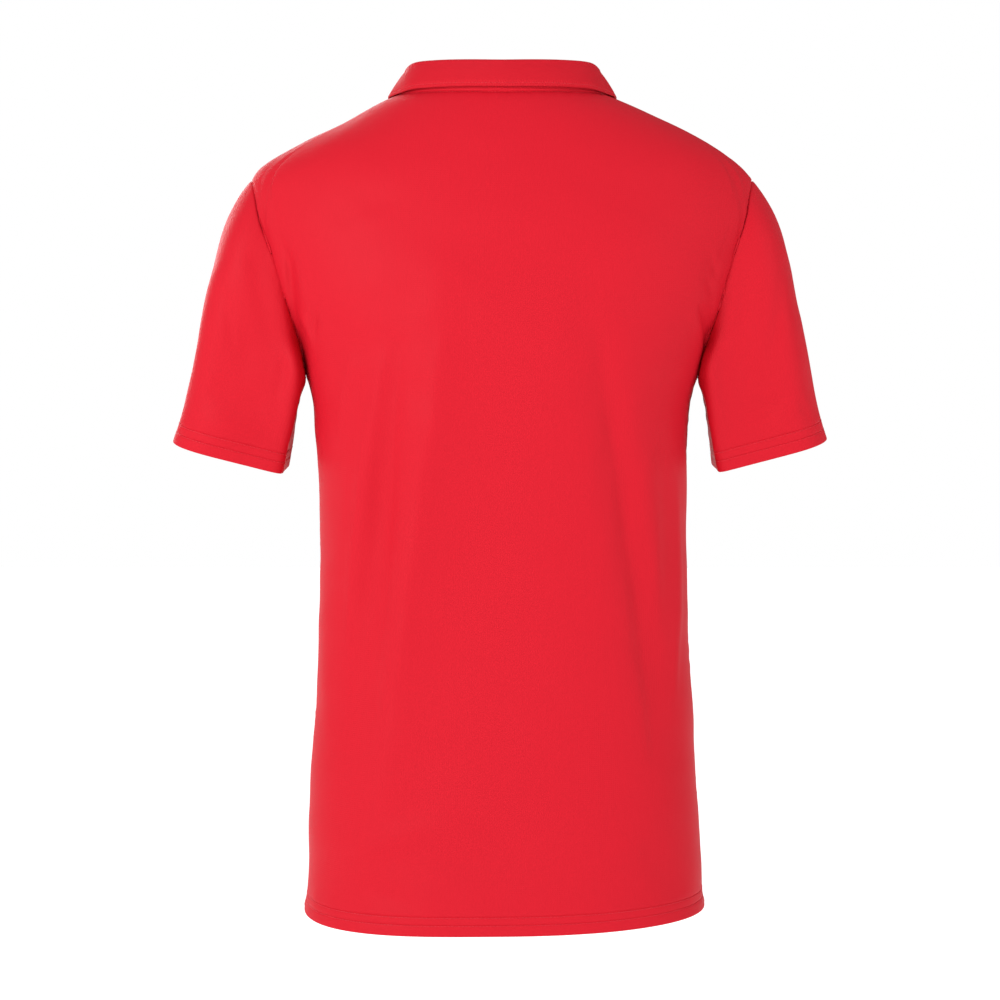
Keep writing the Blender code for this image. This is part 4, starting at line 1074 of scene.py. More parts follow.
def line_above(grid, normals, distance, reverse=False):
    """Points and normals along the cloth, this far from its first (or last) row."""
    if reverse:
        grid, normals = grid[::-1], normals[::-1]
    run = lengths(grid)
    points, away = (
        np.array([read_along(distance, run[:, j], values[:, j]) for j in range(grid.shape[1])])
        for values in (grid, normals)
    )
    return points, unit(away)


def add_object(name, data):
    """A new object in the scene."""
    made = bpy.data.objects.new(name, data)
    bpy.context.scene.collection.objects.link(made)
    return made


def form_object(name, form):
    """A new object from a form in the making, which is closed."""
    mesh = bpy.data.meshes.new(name)
    form.to_mesh(mesh)
    form.free()
    return add_object(name, mesh)


def button_mesh(name, middle, normal):
    """A turned button: flat back, round rim and a dish, with four holes through it."""
    inner, floor = BUTTON_RADIUS - RIM_WIDE, BUTTON_THICK - DISH_DEEP
    profile = (
        (0, 0), (BUTTON_RADIUS - 0.6, 0), (BUTTON_RADIUS, 0.7), (BUTTON_RADIUS, BUTTON_THICK - 0.9),
        (BUTTON_RADIUS - 0.25, BUTTON_THICK - 0.3), (BUTTON_RADIUS - 0.75, BUTTON_THICK),
        (inner, BUTTON_THICK - 0.12), (inner - 0.5, floor + 0.12), (inner - 1.0, floor), (0, floor),
    )
    turns = np.arange(BUTTON_SIDES) * 2 * math.pi / BUTTON_SIDES
    form = bmesh.new()
    rings = []
    for r, h in profile:
        places = MM * np.array([(r * math.cos(a), r * math.sin(a), h) for a in turns])
        rings.append([form.verts.new(place) for place in places[: None if r else 1]])
    for low, high in zip(rings, rings[1:]):
        for s in range(BUTTON_SIDES):
            t = (s + 1) % BUTTON_SIDES
            corners = [low[s % len(low)], low[t % len(low)], high[t % len(high)], high[s % len(high)]]
            form.faces.new(list(dict.fromkeys(corners)))
    bmesh.ops.recalc_face_normals(form, faces=form.faces)
    button = form_object(name, form)
    form = bmesh.new()
    for x, y in ((1, 1), (1, -1), (-1, 1), (-1, -1)):
        made = bmesh.ops.create_cone(
            form, cap_ends=True, segments=HOLE_SIDES, radius1=HOLE_RADIUS * MM,
            radius2=HOLE_RADIUS * MM, depth=4 * BUTTON_THICK * MM)
        away = (x * HOLE_AWAY * MM, y * HOLE_AWAY * MM, 0)
        bmesh.ops.translate(form, verts=made["verts"], vec=away)
    cutter = form_object(name + "_holes", form)
    cut = button.modifiers.new("holes", "BOOLEAN")
    cut.operation, cut.object, cut.solver = "DIFFERENCE", cutter, "EXACT"
    evaluated = button.evaluated_get(bpy.context.evaluated_depsgraph_get())
    final = bpy.data.meshes.new_from_object(evaluated)
    bpy.data.objects.remove(button)
    bpy.data.objects.remove(cutter)
    tilt = math.atan2(-normal[1], normal[2])
    turn = np.array([(1, 0, 0), (0, math.cos(tilt), -math.sin(tilt)),
                     (0, math.sin(tilt), math.cos(tilt))])
    points = np.empty(len(final.vertices) * 3)
    final.vertices.foreach_get("co", points)
    points = points.reshape(-1, 3) @ turn.T + np.array(middle) * MM
    final.vertices.foreach_set("co", points.ravel())
    final.name = name
    final.shade_smooth()
    final.set_sharp_from_angle(angle=math.radians(BUTTON_SHARP_DEG))
    return final


# ---- materials --------------------------------------------------------------------------


def linear_colour(code):
    """A linear colour from an sRGB hex code."""
    values = [int(code[i : i + 2], 16) / 255 for i in (0, 2, 4)]
    return tuple(v / 12.92 if v <= 0.04045 else ((v + 0.055) / 1.055) ** 2.4 for v in values)


KNIT_RED = linear_colour("C61526")
# The stand's red is brightened above the knit's, as painted light on the stand; the dye is the same.
LIT_STAND_RED = linear_colour("D2182A")
RIB_RED = linear_colour("C41626")
THREAD_RED = linear_colour("D02434")
RESIN_RED = linear_colour("B81222")
FLOOR_WHITE = linear_colour("F6F6F6")

WALE = 1.9  # spacing of the drawn wales. The real knit has one to 0.8 mm, too fine to show.
COURSE = 1.7  # spacing of the drawn courses, coarsened in the same way
RIB_PITCH = 2.2  # spacing of the drawn ribs. The real collar has one to about 1.2 mm.
THREAD_TWIST = 0.9  # length of one turn of the thread's two plies
FINE_WAVE = {"Detail": 1.0, "Detail Scale": 1.4}  # the drawn lines are a little uneven


def add_node(tree, kind, settings=None, links=None):
    """A node with its settings, and links into it as {input: output socket}."""
    node = tree.nodes.new(kind)
    for name, value in (settings or {}).items():
        if isinstance(name, int) or name in node.inputs:
            node.inputs[name].default_value = value
        else:
            setattr(node, name, value)
    for name, socket in (links or {}).items():
        tree.links.new(socket, node.inputs[name])
    return node


def new_material(name, colour, **sockets):
    """A material of this colour with these shader settings, its nodes and its shader."""
    material = bpy.data.materials.new(name)
    material.use_nodes = True
    shader = material.node_tree.nodes["Principled BSDF"]
    shader.inputs["Base Color"].default_value = (*colour, 1)
    material.diffuse_color = (*colour, 1)
    for socket, value in sockets.items():
        shader.inputs[socket.replace("_", " ")].default_value = value
    return material, material.node_tree, shader


def wave_scale(pitch):
    """Scale of a wave texture with one wave to each pitch in millimetres."""
    return 2 * math.pi / (20 * pitch * MM)


def knit_material(settings, name="piece_dyed_polyester_knit", colour=None):
    """Polyester jersey, knitted fine and piece-dyed. The filament yarn gives a soft, wide sheen,
    and the wales a faint upright grain."""
    material, tree, shader = new_material(
        name, colour or settings.knit_colour, Roughness=0.56, IOR=1.46,
        Specular_IOR_Level=0.13)
    cloth = add_node(tree, "ShaderNodeUVMap", {"uv_map": "cloth"}).outputs["UV"]
    lines = [
        add_node(tree, "ShaderNodeTexWave", {
            **FINE_WAVE, "bands_direction": direction, "Scale": wave_scale(pitch), "Distortion": 0.6},
            {"Vector": cloth}).outputs["Fac"]
        for direction, pitch in (("X", WALE), ("Y", COURSE))
    ]
    loops = add_node(tree, "ShaderNodeMath", {"operation": "MULTIPLY"}, dict(enumerate(lines)))
    grain = add_node(tree, "ShaderNodeTexNoise", {"Scale": 620.0, "Detail": 2.0}, {"Vector": cloth})
    height = add_node(tree, "ShaderNodeMath", {"operation": "MULTIPLY_ADD", 1: 0.55},
                      {0: grain.outputs["Fac"], 2: loops.outputs["Value"]})
    bump = add_node(tree, "ShaderNodeBump", {"Strength": settings.knit_relief, "Distance": 0.00022},
                    {"Height": height.outputs["Value"]})
    tree.links.new(bump.outputs["Normal"], shader.inputs["Normal"])
    return material


def lit_stand_material(settings):
    """The same jersey, its colour brightened to paint the light that falls on the stand."""
    return knit_material(settings, "polyester_knit_with_painted_light", settings.lit_stand_colour)


def rib_material(settings):
    """Flat-knitted rib of the same yarn. Its upright ribs give the collar a fine ruled look."""
    material, tree, shader = new_material(
        "flat_knitted_rib", settings.rib_colour, Roughness=0.6, IOR=1.46,
        Specular_IOR_Level=0.12)
    cloth = add_node(tree, "ShaderNodeUVMap", {"uv_map": "cloth"}).outputs["UV"]
    ribs, courses = (
        add_node(tree, "ShaderNodeTexWave", {
            **FINE_WAVE, "bands_direction": direction, "Scale": wave_scale(pitch), "Distortion": bent},
            {"Vector": cloth}).outputs["Fac"]
        for direction, pitch, bent in (("X", RIB_PITCH, 0.0), ("Y", COURSE, 0.8))
    )
    height = add_node(tree, "ShaderNodeMath", {"operation": "MULTIPLY_ADD", 1: 0.06},
                      {0: courses, 2: ribs})
    bump = add_node(tree, "ShaderNodeBump", {"Strength": settings.rib_relief, "Distance": 0.0005},
                    {"Height": height.outputs["Value"]})
    tree.links.new(bump.outputs["Normal"], shader.inputs["Normal"])
    return material


def thread_material(settings):
    """Spun polyester sewing thread, twisted from two plies. It is a little brighter than the knit."""
    material, tree, shader = new_material(
        "spun_polyester_thread", settings.thread_colour, Roughness=0.45, IOR=1.46,
        Specular_IOR_Level=0.3, Sheen_Weight=0.05)
    place = add_node(tree, "ShaderNodeTexCoord").outputs["Object"]
    plies = add_node(tree, "ShaderNodeTexWave",
                     {"bands_direction": "DIAGONAL", "Scale": wave_scale(THREAD_TWIST)},
                     {"Vector": place})
    bump = add_node(tree, "ShaderNodeBump", {"Strength": 0.3, "Distance": 0.0001},
                    {"Height": plies.outputs["Fac"]})
    tree.links.new(bump.outputs["Normal"], shader.inputs["Normal"])
    return material


def resin_material(settings):
    """Cast polyester resin, dyed through and tumble-polished. It has a clear small highlight."""
    material, tree, shader = new_material(
        "polished_polyester_resin", settings.button_colour, Roughness=0.24, IOR=1.56,
        Specular_IOR_Level=0.5, Coat_Weight=0.3, Coat_Roughness=0.12)
    place = add_node(tree, "ShaderNodeTexCoord").outputs["Object"]
    cloud = add_node(tree, "ShaderNodeTexNoise", {"Scale": 140.0, "Detail": 3.0}, {"Vector": place})
    rough = add_node(tree, "ShaderNodeMapRange", {"To Min": 0.2, "To Max": 0.32},
                     {"Value": cloud.outputs["Fac"]})
    tree.links.new(rough.outputs["Result"], shader.inputs["Roughness"])
    return material


def material_of(kind, settings):
    """The material of this kind, made when it is first asked for."""
    makers = {"knit": knit_material, "stand": lit_stand_material, "rib": rib_material,
              "thread": thread_material, "resin": resin_material}
    if kind not in CLOTH:
        CLOTH[kind] = makers[kind](settings)
    return CLOTH[kind]


# ---- pieces -----------------------------------------------------------------------------

CLOTH = {}  # materials made so far, and the fine grids of the cloth that other pieces lie on


def add_piece(name, mesh, kind, settings, *replaced):
    """A piece of this kind of material on the shirt, laid over these solids."""
    piece = add_object(name, mesh)
    mesh.materials.clear()
    mesh.materials.append(material_of(kind, settings))
    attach(piece, "root")
    if replaced:
        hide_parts(*replaced)


def coarse_grids():
    """The solids' own grids, worked out once."""
    if "coarse" not in CLOTH:
        back, front = panel_grid("back"), panel_grid("front")
        CLOTH["coarse"] = {"back": back, "front": front}
        for side in ("left", "right"):
            CLOTH["coarse"]["sleeve_" + side] = sleeve_grid(side, back, front)
        seam = neck_seam(back, front)
        stand = stand_grid(seam)
        CLOTH["coarse"].update(collar_stand=stand, collar_leaf=leaf_grid(seam, stand))
    return CLOTH["coarse"]


def fine_bodies():
    """The back and the front as plain fine grids, each with the number of its underarm's row."""
    if "fine" not in CLOTH:
        coarse = coarse_grids()
        CLOTH["fine"] = {panel: fine_panel(panel, coarse[panel]) for panel in ("back", "front")}
    return CLOTH["fine"]


def shaped(name, grid, flip):
    """Keeps a shaped grid with its normals, for the stitching that lies on it."""
    CLOTH[name] = (grid, grid_normals(grid, flip))


class POLO_OT_panels(bpy.types.Operator):
    """Lays the back and the front over their solids"""

    bl_idname = "polo.panels"
    bl_label = "Back and front"

    def execute(self, context):
        settings = context.scene.polo_cloth
        for panel, (fine, _) in fine_bodies().items():
            grid, up = shape_panel(panel, fine)
            flip = panel == "back"
            shaped(panel, grid, flip)
            inside = wall(settings, HEM_STITCHES, up)
            across = lengths(fine, 1)
            middle = across[:, fine.shape[1] // 2 : fine.shape[1] // 2 + 1]
            chart = np.stack([across - middle, up], axis=-1)
            sewn = tucked(grid[::-1], not flip, inside[::-1], chart[::-1])
            grid, inside, chart = (value[::-1] for value in sewn)
            skip = None
            if panel == "front":
                x = grid[..., 0]
                centre = (x[:-1, :-1] + x[1:, 1:]) / 2
                coarse = coarse_grids()["front"]
                bottom = coarse[box_row(coarse), PANEL_COLUMNS // 2, 2]
                skip = (np.abs(centre) < BOX_HALF - BOX_EDGE) & (grid[:-1, :-1, 2] > bottom)
            mesh = sheet_mesh(panel + "_cloth", grid, inside, flip, chart, skip)
            add_piece(panel + "_cloth", mesh, "knit", settings, panel)
        return {"FINISHED"}


class POLO_OT_sleeves(bpy.types.Operator):
    """Lays both sleeves over their solids, sewn to the armholes"""

    bl_idname = "polo.sleeves"
    bl_label = "Sleeves"

    def execute(self, context):
        settings = context.scene.polo_cloth
        (back, start), (front, _) = fine_bodies().values()
        for side, edge in (("left", -1), ("right", 0)):
            ring = np.concatenate([back[start:, edge], front[start:, edge][::-1][1:]])
            name = "sleeve_" + side
            fine = fine_sleeve(coarse_grids()[name], ring)
            grid, up = shape_sleeve(side, fine)
            flip = side == "right"
            shaped(name, grid, flip)
            inside = wall(settings, CUFF_STITCHES, up)
            chart = np.stack([lengths(fine, 1), up], axis=-1)
            grid, inside, chart = tucked(grid, flip, inside, chart)
            mesh = sheet_mesh(name + "_cloth", grid, inside, flip, chart)
            add_piece(name + "_cloth", mesh, "knit", settings, name)
        return {"FINISHED"}


def fine_stand():
    """The stand as a fine grid, its foot turned in behind the neck seam."""
    coarse = coarse_grids()["collar_stand"]
    columns = np.arange((coarse.shape[1] - 1) * CELL + 1) / CELL
    grid = dense(coarse, np.arange(STAND_ROWS * COLLAR_CELL + 1) / COLLAR_CELL, columns)
    grid = respace(grid, (0.0, 0.4, 0.9, 1.5, 1.9, 2.4, 2.9, 3.6), (0.0, 0.5, 1.2), 10)
    normals = grid_normals(grid, True)
    grid = grid + edge_shape("stand", lengths(grid))[..., None] * normals
    foot = grid[0] - normals[0] * STAND_TUCK[0] - np.array((0, 0, STAND_TUCK[1]))
    return np.concatenate([foot[None], grid])


def fine_leaf():
    """The leaf as a fine grid, its edge waved a little and pressed in at the back."""
    coarse = coarse_grids()["collar_leaf"]
    rows = np.arange((coarse.shape[0] - 1) * COLLAR_CELL + 1) / COLLAR_CELL
    grid = dense(coarse, rows, finer(coarse.shape[1] - 1, NEAR_SEAM, NEAR_SEAM))
    near = (0.0, 0.3, 0.8, 1.6, LEAF_STITCH - 0.7, LEAF_STITCH, LEAF_STITCH + 0.7, LEAF_STITCH + 2)
    grid = respace(grid, (0.0, 1.5), near, 22)
    run, across = lengths(grid), lengths(grid, 1)
    to_edge = run[-1] - run
    nearest = np.minimum(to_edge, to_nearer_end(across))
    along = across - across[:, across.shape[1] // 2][:, None]
    wave = uneven_wave("leaf", along) * np.clip(1 - to_edge / LEAF_WAVE_REACH, 0, 1)
    rise = edge_shape("leaf", nearest) + LEAF_WAVE * wave * (1 - bell(nearest, LEAF_TURN))
    rise -= LEAF_PRESS * bell(to_edge, LEAF_PRESS_UP) * np.exp(-((along / LEAF_PRESS_ALONG) ** 6))
    return grid + rise[..., None] * grid_normals(grid, False)


class POLO_OT_collar(bpy.types.Operator):
    """Lays the collar's stand and its turned-down leaf over their solids"""

    bl_idname = "polo.collar"
    bl_label = "Collar"

    def execute(self, context):
        settings = context.scene.polo_cloth
        for name, grid, thick, flip, kind in (
            # the stand's material has the light on it painted into its colour
            ("collar_stand", fine_stand(), STAND_THICK, True, "stand"),
            ("collar_leaf", fine_leaf(), LEAF_THICK, False, "rib"),
        ):
            shaped(name, grid, flip)
            chart = np.stack([lengths(grid, 1), lengths(grid)], axis=-1)
            mesh = sheet_mesh(name + "_cloth", grid, thick, flip, chart)
            add_piece(name + "_cloth", mesh, kind, settings, name)
        return {"FINISHED"}


class POLO_OT_placket(bpy.types.Operator):
    """Lays the two placket strips over their solids"""

    bl_idname = "polo.placket"
    bl_label = "Placket"

    def execute(self, context):
        settings = context.scene.polo_cloth
        front = coarse_grids()["front"]
        points, outward = strip_grid(front, grid_normals(front, False))
        near = (0.0, 0.3, 0.8, STRIP_STITCH - 0.5, STRIP_STITCH, STRIP_STITCH + 0.5)
        for name, side in (("placket_upper", 1), ("placket_under", -1)):
            moved = points + outward * side * (STRIP_LIFT + KNIT)
            rows = np.arange((len(moved) - 1) * STRIP_CELL + 1) / STRIP_CELL
            edge, right, middle, left = np.moveaxis(dense(moved, rows, np.arange(4)), 1, 0)
            reach = 1 + np.linalg.norm(edge - right, axis=1) / np.linalg.norm(middle - right, axis=1)
            turn = (np.linspace(-1, 1, 33) * reach[:, None])[..., None]
            bow = ((left + right) / 2 - middle)[:, None]
            grid = middle[:, None] + (left - right)[:, None] / 2 * turn + bow * turn**2
            grid = respace(grid, near, (0.0, 1.0), 60)
            grid = np.moveaxis(respace(np.moveaxis(grid, 1, 0), near, near, 14), 1, 0)
            run, across = lengths(grid), lengths(grid, 1)
            nearest = np.minimum(run, to_nearer_end(across))
            rise = edge_shape("strip", nearest, run - STRIP_FOOT_STITCH)
            grid = grid + rise[..., None] * grid_normals(grid, False)
            shaped(name, grid, False)
            chart = np.stack([across, run], axis=-1)
            mesh = sheet_mesh(name + "_cloth", grid, STRIP_THICK, False, chart)
            add_piece(name + "_cloth", mesh, "knit", settings, name)
        return {"FINISHED"}


def button_places():
    """Middle and outward direction of each button, on the placket's face."""
    front = coarse_grids()["front"]
    points, outward = strip_grid(front, grid_normals(front, False))
    middle, lifted = points[::-1, 2], outward[::-1, 2]
    down = lengths(middle)
    places = []
    for drop in BUTTON_DROPS:
        normal = unit(read_along(drop, down, lifted))
        places.append((read_along(drop, down, middle) + normal * (STRIP_LIFT + KNIT), normal))
    return places


class POLO_OT_buttons(bpy.types.Operator):
    """Makes the three buttons with their thread and their buttonholes"""

    bl_idname = "polo.buttons"
    bl_label = "Buttons"

    def execute(self, context):
        settings = context.scene.polo_cloth
        for number, (at, normal) in enumerate(button_places(), 1):
            name = f"button_{number}"
            base = at + normal * BUTTON_LIFT
            mesh = button_mesh(name + "_turned", base, normal)
            add_piece(name + "_turned", mesh, "resin", settings, name)
            side = np.array([1.0, 0, 0])
            up = np.cross(normal, side)
            share = np.linspace(0, 1, 9)[:, None]
            lift = BUTTON_THICK - DISH_DEEP - THREAD_IN + THREAD_HIGH * np.sin(math.pi * share) ** 0.35
            over = up * HOLE_AWAY * (2 * share - 1) + normal * lift
            under = normal * np.linspace(-THREAD_DOWN, 0, 3)[:, None]
            paths = [base + side * (x + off) + over
                     for x in (-HOLE_AWAY, HOLE_AWAY) for off in (-THREAD_APART, THREAD_APART)]
            paths += [base + side * x + under for x in (-0.5, 0.5)]
            radii = [np.full(len(path), settings.thread_width / MM / 2) for path in paths]
            add_piece(name + "_thread", tube_mesh(name + "_thread", paths, radii), "thread", settings)
            long, wide = BUTTONHOLE_LONG / 2, BUTTONHOLE_WIDE / 2
            arc = np.linspace(-1, 1, len(BAR_RADII))[:, None]
            bars = []
            for turn in np.arange(BAR_COUNT) * 2 * math.pi / BAR_COUNT:
                x = wide * math.cos(turn)
                y = wide * math.sin(turn) + (long - wide) * np.clip(math.sin(turn) * 1.6, -1, 1)
                out = unit(side * x + up * np.clip(y, -wide, wide) * 0.35)
                bars.append(at + side * x + up * y + out * arc * BAR_HALF
                            + normal * (0.28 * np.cos(arc * 1.4) - 0.05))
            mesh = tube_mesh(name + "_buttonhole", bars, [np.array(BAR_RADII)] * BAR_COUNT)
            add_piece(name + "_buttonhole", mesh, "thread", settings)
        return {"FINISHED"}


class POLO_OT_stitching(bpy.types.Operator):
    """Sews the rows of stitches on the hem, cuffs, collar and placket"""

    bl_idname = "polo.stitching"
    bl_label = "Stitching"

    def execute(self, context):
        settings = context.scene.polo_cloth
        sewn = {row[0]: [] for row in CUTS}

        def sew(on, name, path, normals):
            """A row of stitches along this path on a piece of cloth."""
            add_piece(name, stitch_row(name, path, normals, settings), "thread", settings)
            sewn[on].append(name)

        for panel in ("back", "front"):
            for row, distance in enumerate(HEM_STITCHES, 1):
                sew(panel, f"{panel}_hem_stitches_{row}", *line_above(*CLOTH[panel], distance))
        for side in ("left", "right"):
            name = "sleeve_" + side
            for row, distance in enumerate(CUFF_STITCHES, 1):
                line = line_above(*CLOTH[name], distance, reverse=True)
                sew(name, f"cuff_{side}_stitches_{row}", *line)
        stand = line_above(*CLOTH["collar_stand"], STAND_STITCH)
        sew("collar_stand", "collar_stand_stitches", *stand)
        edge = line_above(*CLOTH["collar_leaf"], LEAF_STITCH, reverse=True)
        sew("collar_leaf", "collar_edge_stitches", *(line[4:-4] for line in edge))
        for on, name, distance, part in (
            ("collar_leaf", "collar_{}_end_stitches", LEAF_STITCH, slice(12, -6)),
            ("placket_upper", "placket_{}_stitches", STRIP_STITCH, slice(4, -2)),
        ):
            turned = [np.moveaxis(values, 1, 0) for values in CLOTH[on]]
            for end, reverse in (("right", False), ("left", True)):
                lines = line_above(*turned, distance, reverse=reverse)
                sew(on, name.format(end), *(line[part] for line in lines))
        for row, distance in enumerate((STRIP_STITCH, STRIP_FOOT_STITCH), 1):
            foot = line_above(*CLOTH["placket_upper"], distance)
            sew("placket_upper", f"placket_foot_stitches_{row}", *(line[4:-4] for line in foot))
        sewn["placket_upper"] += [f"button_{number}_buttonhole" for number in (1, 2, 3)]
        return {"FINISHED"}


# ---- stage ------------------------------------------------------------------------------

# The floor and the lamps are placed in metres.
FLOOR_NEAR, FLOOR_FAR = 1.5, 2.8  # between these distances the lit floor becomes pure white
FLOOR_GLOW = (0.3, 0.62)  # its own glow at these distances
FLOOR_Z = -1.15  # height of the floor, clear of the hem
FLOOR_HALF = 40.0  # half its width
SENSOR = 36.0  # width of the camera's sensor
CAMERA_AWAY, CAMERA_Z, CAMERA_X = 3200.0, -350.6, 1.7  # level, behind the shirt
FRAME_WIDE = 870.0  # width of the picture at the shirt's side seams
LIGHT_AIM = (0.0, 0.05, -0.35)  # the lamps shine at the middle of the shirt
# Name, place, diameter and power in watts of each lamp.
LIGHTS = (
    ("key_light", (1.9, 2.3, 0.9), 0.8, 43),
    ("right_fill_light", (-2.4, 1.8, 1.2), 2.0, 19),
    ("front_fill_light", (1.2, -2.8, 0.9), 2.2, 48),
)


def aim(towards):
    """Rotation that points a lamp, which shines down its own -Z, this way."""
    x, y, z = unit(towards)
    return (math.pi / 2 + math.asin(z), 0, math.atan2(y, x) - math.pi / 2)


def add_floor():
    """A matt white floor that glows a little, more so far away, so that it has no visible end."""
    material, tree, shader = new_material("matt_painted_floor", FLOOR_WHITE, Roughness=0.9)
    shader.inputs["Emission Color"].default_value = (1, 1, 1, 1)
    place = add_node(tree, "ShaderNodeTexCoord").outputs["Object"]
    away = add_node(tree, "ShaderNodeVectorMath", {"operation": "LENGTH"}, {0: place})
    low, high = FLOOR_GLOW
    glow = add_node(tree, "ShaderNodeMapRange", {
        "From Min": FLOOR_NEAR, "From Max": FLOOR_FAR, "To Min": low, "To Max": high},
        {"Value": away.outputs["Value"]})
    tree.links.new(glow.outputs["Result"], shader.inputs["Emission Strength"])
    mesh = bpy.data.meshes.new("floor")
    corners = [(x * FLOOR_HALF, y * FLOOR_HALF, FLOOR_Z)
               for x, y in ((-1, -1), (1, -1), (1, 1), (-1, 1))]
    mesh.from_pydata(corners, [], [(0, 1, 2, 3)])
    mesh.materials.append(material)
    add_object("floor", mesh)


def add_surroundings(stage):
    """White surroundings, darker overhead, on the wearer's right and in front of the shirt."""
    world = bpy.data.worlds.new("studio")
    world.use_nodes = True
    tree = world.node_tree
    place = add_node(tree, "ShaderNodeTexCoord").outputs["Generated"]
    towards = add_node(tree, "ShaderNodeSeparateXYZ", links={"Vector": place}).outputs
    light = None
    # How each ramp joins the ones before it, its axis, where it runs from and to, and its ends.
    for joined, axis, start, end, low, high in (
        (None, "Z", 0.12, 1.0, stage.surround, stage.surround * stage.ceiling),
        ("MULTIPLY", "X", -1.0, -0.15, stage.right_side, 1.0),
        ("MULTIPLY", "Y", -0.9, -0.1, stage.far_side, 1.0),
        ("MAXIMUM", "Y", -0.972, -0.981, 0.0, stage.surround),
    ):
        ends = {"From Min": start, "From Max": end, "To Min": low, "To Max": high}
        ramp = add_node(tree, "ShaderNodeMapRange", ends, {"Value": towards[axis]})
        if joined:
            ramp = add_node(tree, "ShaderNodeMath", {"operation": joined},
                            {0: light, 1: ramp.outputs[0]})
        light = ramp.outputs[0]
    background = tree.nodes["Background"]
    background.inputs["Color"].default_value = (1, 1, 1, 1)
    tree.links.new(light, background.inputs["Strength"])
    bpy.context.scene.world = world


class POLO_OT_stage(bpy.types.Operator):
    """Sets up the pale floor, the soft studio light and the camera"""

    bl_idname = "polo.stage"
    bl_label = "Stage"

    def execute(self, context):
        stage = context.scene.polo_stage
        add_floor()
        for name, place, size, power in LIGHTS:
            lamp = bpy.data.lights.new(name, "AREA")
            lamp.shape, lamp.size, lamp.energy = "DISK", size, power * stage.light
            light = add_object(name, lamp)
            light.location = place
            light.rotation_euler = aim(np.array(LIGHT_AIM) - np.array(place))
        add_surroundings(stage)
        context.scene.view_settings.view_transform = "Standard"
        lens = bpy.data.cameras.new("camera")
        lens.sensor_width = SENSOR
        lens.lens = SENSOR * CAMERA_AWAY / FRAME_WIDE
        lens.clip_end = 200
        camera = add_object("camera", lens)
        camera.location = (CAMERA_X * MM, CAMERA_AWAY * MM, CAMERA_Z * MM)
        camera.rotation_euler = (math.pi / 2, 0, math.pi)
        context.scene.camera = camera
        return {"FINISHED"}


# ---- the add-on -------------------------------------------------------------------------


class PoloCloth(bpy.types.PropertyGroup):
    """The cloth, its stitching and the colours"""

    knit_thickness: bpy.props.FloatProperty(
        name="Knit thickness", description="Thickness of the shown body knit",
        default=0.8 * MM, min=0.3 * MM, max=1.4 * MM, subtype="DISTANCE", unit="LENGTH")
    stitch_pitch: bpy.props.FloatProperty(
        name="Stitch length", description="Length of one stitch with its gap",
        default=2.9 * MM, min=1.5 * MM, max=6 * MM, subtype="DISTANCE", unit="LENGTH")
    thread_width: bpy.props.FloatProperty(
        name="Thread width", description="Thickness of the sewing thread",
        default=0.5 * MM, min=0.2 * MM, max=1 * MM, subtype="DISTANCE", unit="LENGTH")
    knit_relief: bpy.props.FloatProperty(
        name="Knit relief", description="Strength of the knit's fine grain",
        default=0.35, min=0, max=1, subtype="FACTOR")
    rib_relief: bpy.props.FloatProperty(
        name="Rib relief", description="Strength of the collar's ribs",
        default=0.5, min=0, max=1, subtype="FACTOR")
    knit_colour: bpy.props.FloatVectorProperty(
        name="Knit", description="Colour of the body knit",
        default=KNIT_RED, size=3, subtype="COLOR")
    # brightened above the knit's colour, as painted light on the stand
    lit_stand_colour: bpy.props.FloatVectorProperty(
        name="Collar stand", description="Colour of the collar stand",
        default=LIT_STAND_RED, size=3, subtype="COLOR")
    rib_colour: bpy.props.FloatVectorProperty(
        name="Collar rib", description="Colour of the collar leaf",
        default=RIB_RED, size=3, subtype="COLOR")
    thread_colour: bpy.props.FloatVectorProperty(
        name="Thread", description="Colour of the stitching",
        default=THREAD_RED, size=3, subtype="COLOR")
    button_colour: bpy.props.FloatVectorProperty(
        name="Buttons", description="Colour of the buttons",
        default=RESIN_RED, size=3, subtype="COLOR")


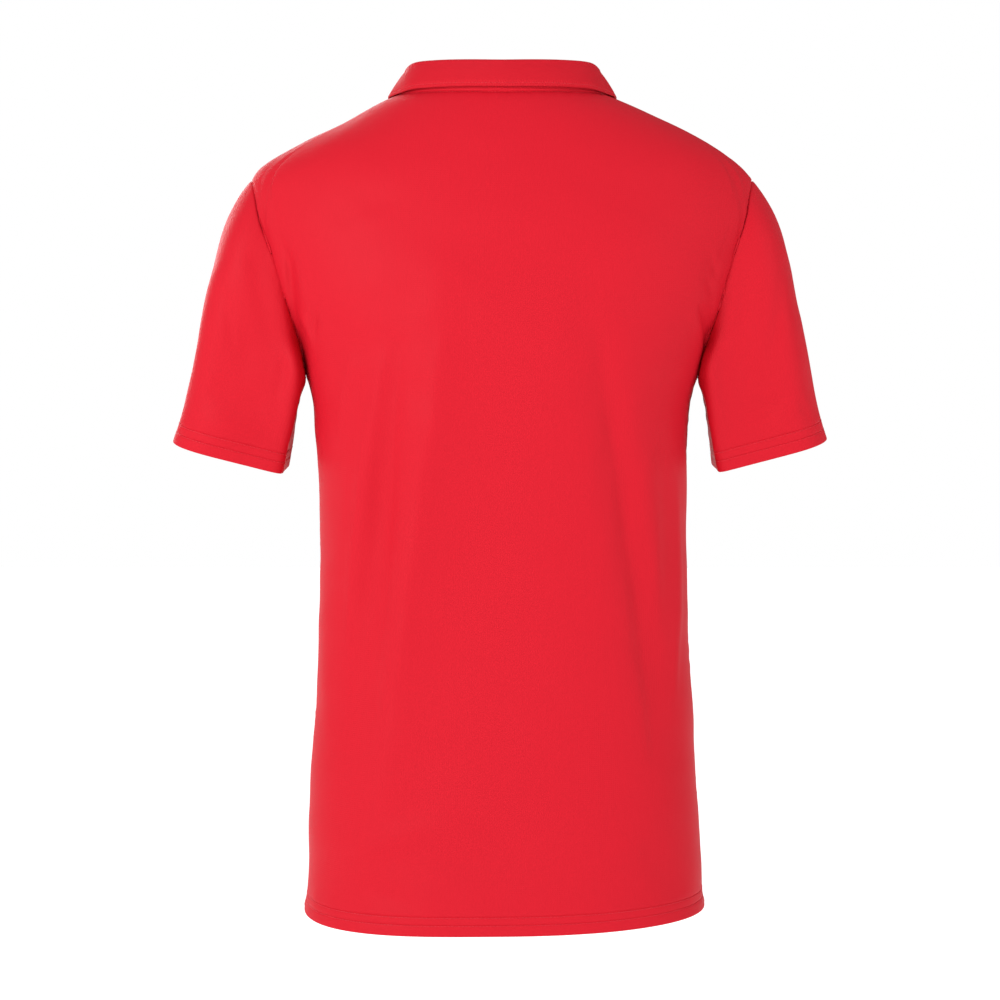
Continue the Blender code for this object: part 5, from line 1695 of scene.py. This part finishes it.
class PoloStage(bpy.types.PropertyGroup):
    """The light round the shirt"""

    light: bpy.props.FloatProperty(
        name="Light", description="Strength of the lamps, as a share of their own power",
        default=1.0, min=0, max=4)
    surround: bpy.props.FloatProperty(
        name="Surround", description="Brightness of the white surroundings", default=1.0, min=0, max=2)
    ceiling: bpy.props.FloatProperty(
        name="Ceiling", description="Brightness overhead, as a share of the surroundings",
        default=0.6, min=0, max=1, subtype="FACTOR")
    far_side: bpy.props.FloatProperty(
        name="Far side", description="Brightness before the shirt, beside the white backdrop",
        default=0.2, min=0, max=1, subtype="FACTOR")
    right_side: bpy.props.FloatProperty(
        name="Right side", description="Brightness on the wearer's right, as a share of the left",
        default=0.72, min=0, max=1, subtype="FACTOR")


class POLO_PT_sidebar(bpy.types.Panel):
    """The settings and steps in the sidebar"""

    bl_idname = "POLO_PT_sidebar"
    bl_label = "Polo Shirt"
    bl_space_type = "VIEW_3D"
    bl_region_type = "UI"
    bl_category = "Polo Shirt"

    def draw(self, context):
        for group in (context.scene.polo_cloth, context.scene.polo_stage):
            box = self.layout.box()
            for name in group.__annotations__:
                box.prop(group, name)
        for operator in STEPS:
            self.layout.operator(operator.bl_idname)


STEPS = (POLO_OT_panels, POLO_OT_sleeves, POLO_OT_collar, POLO_OT_placket, POLO_OT_buttons,
         POLO_OT_stitching, POLO_OT_stage)
CLASSES = (PoloCloth, PoloStage, *STEPS, POLO_PT_sidebar)


def register():
    """Makes the settings, steps and sidebar known to Blender."""
    for cls in CLASSES:
        bpy.utils.register_class(cls)
    bpy.types.Scene.polo_cloth = bpy.props.PointerProperty(type=PoloCloth)
    bpy.types.Scene.polo_stage = bpy.props.PointerProperty(type=PoloStage)


def unregister():
    """Takes them away again."""
    del bpy.types.Scene.polo_stage, bpy.types.Scene.polo_cloth
    for cls in reversed(CLASSES):
        bpy.utils.unregister_class(cls)


def main():
    """Makes every piece and the stage."""
    register()
    bpy.ops.polo.panels()
    bpy.ops.polo.sleeves()
    bpy.ops.polo.collar()
    bpy.ops.polo.placket()
    bpy.ops.polo.buttons()
    bpy.ops.polo.stitching()
    bpy.ops.polo.stage()


if __name__ == "__main__":
    main()
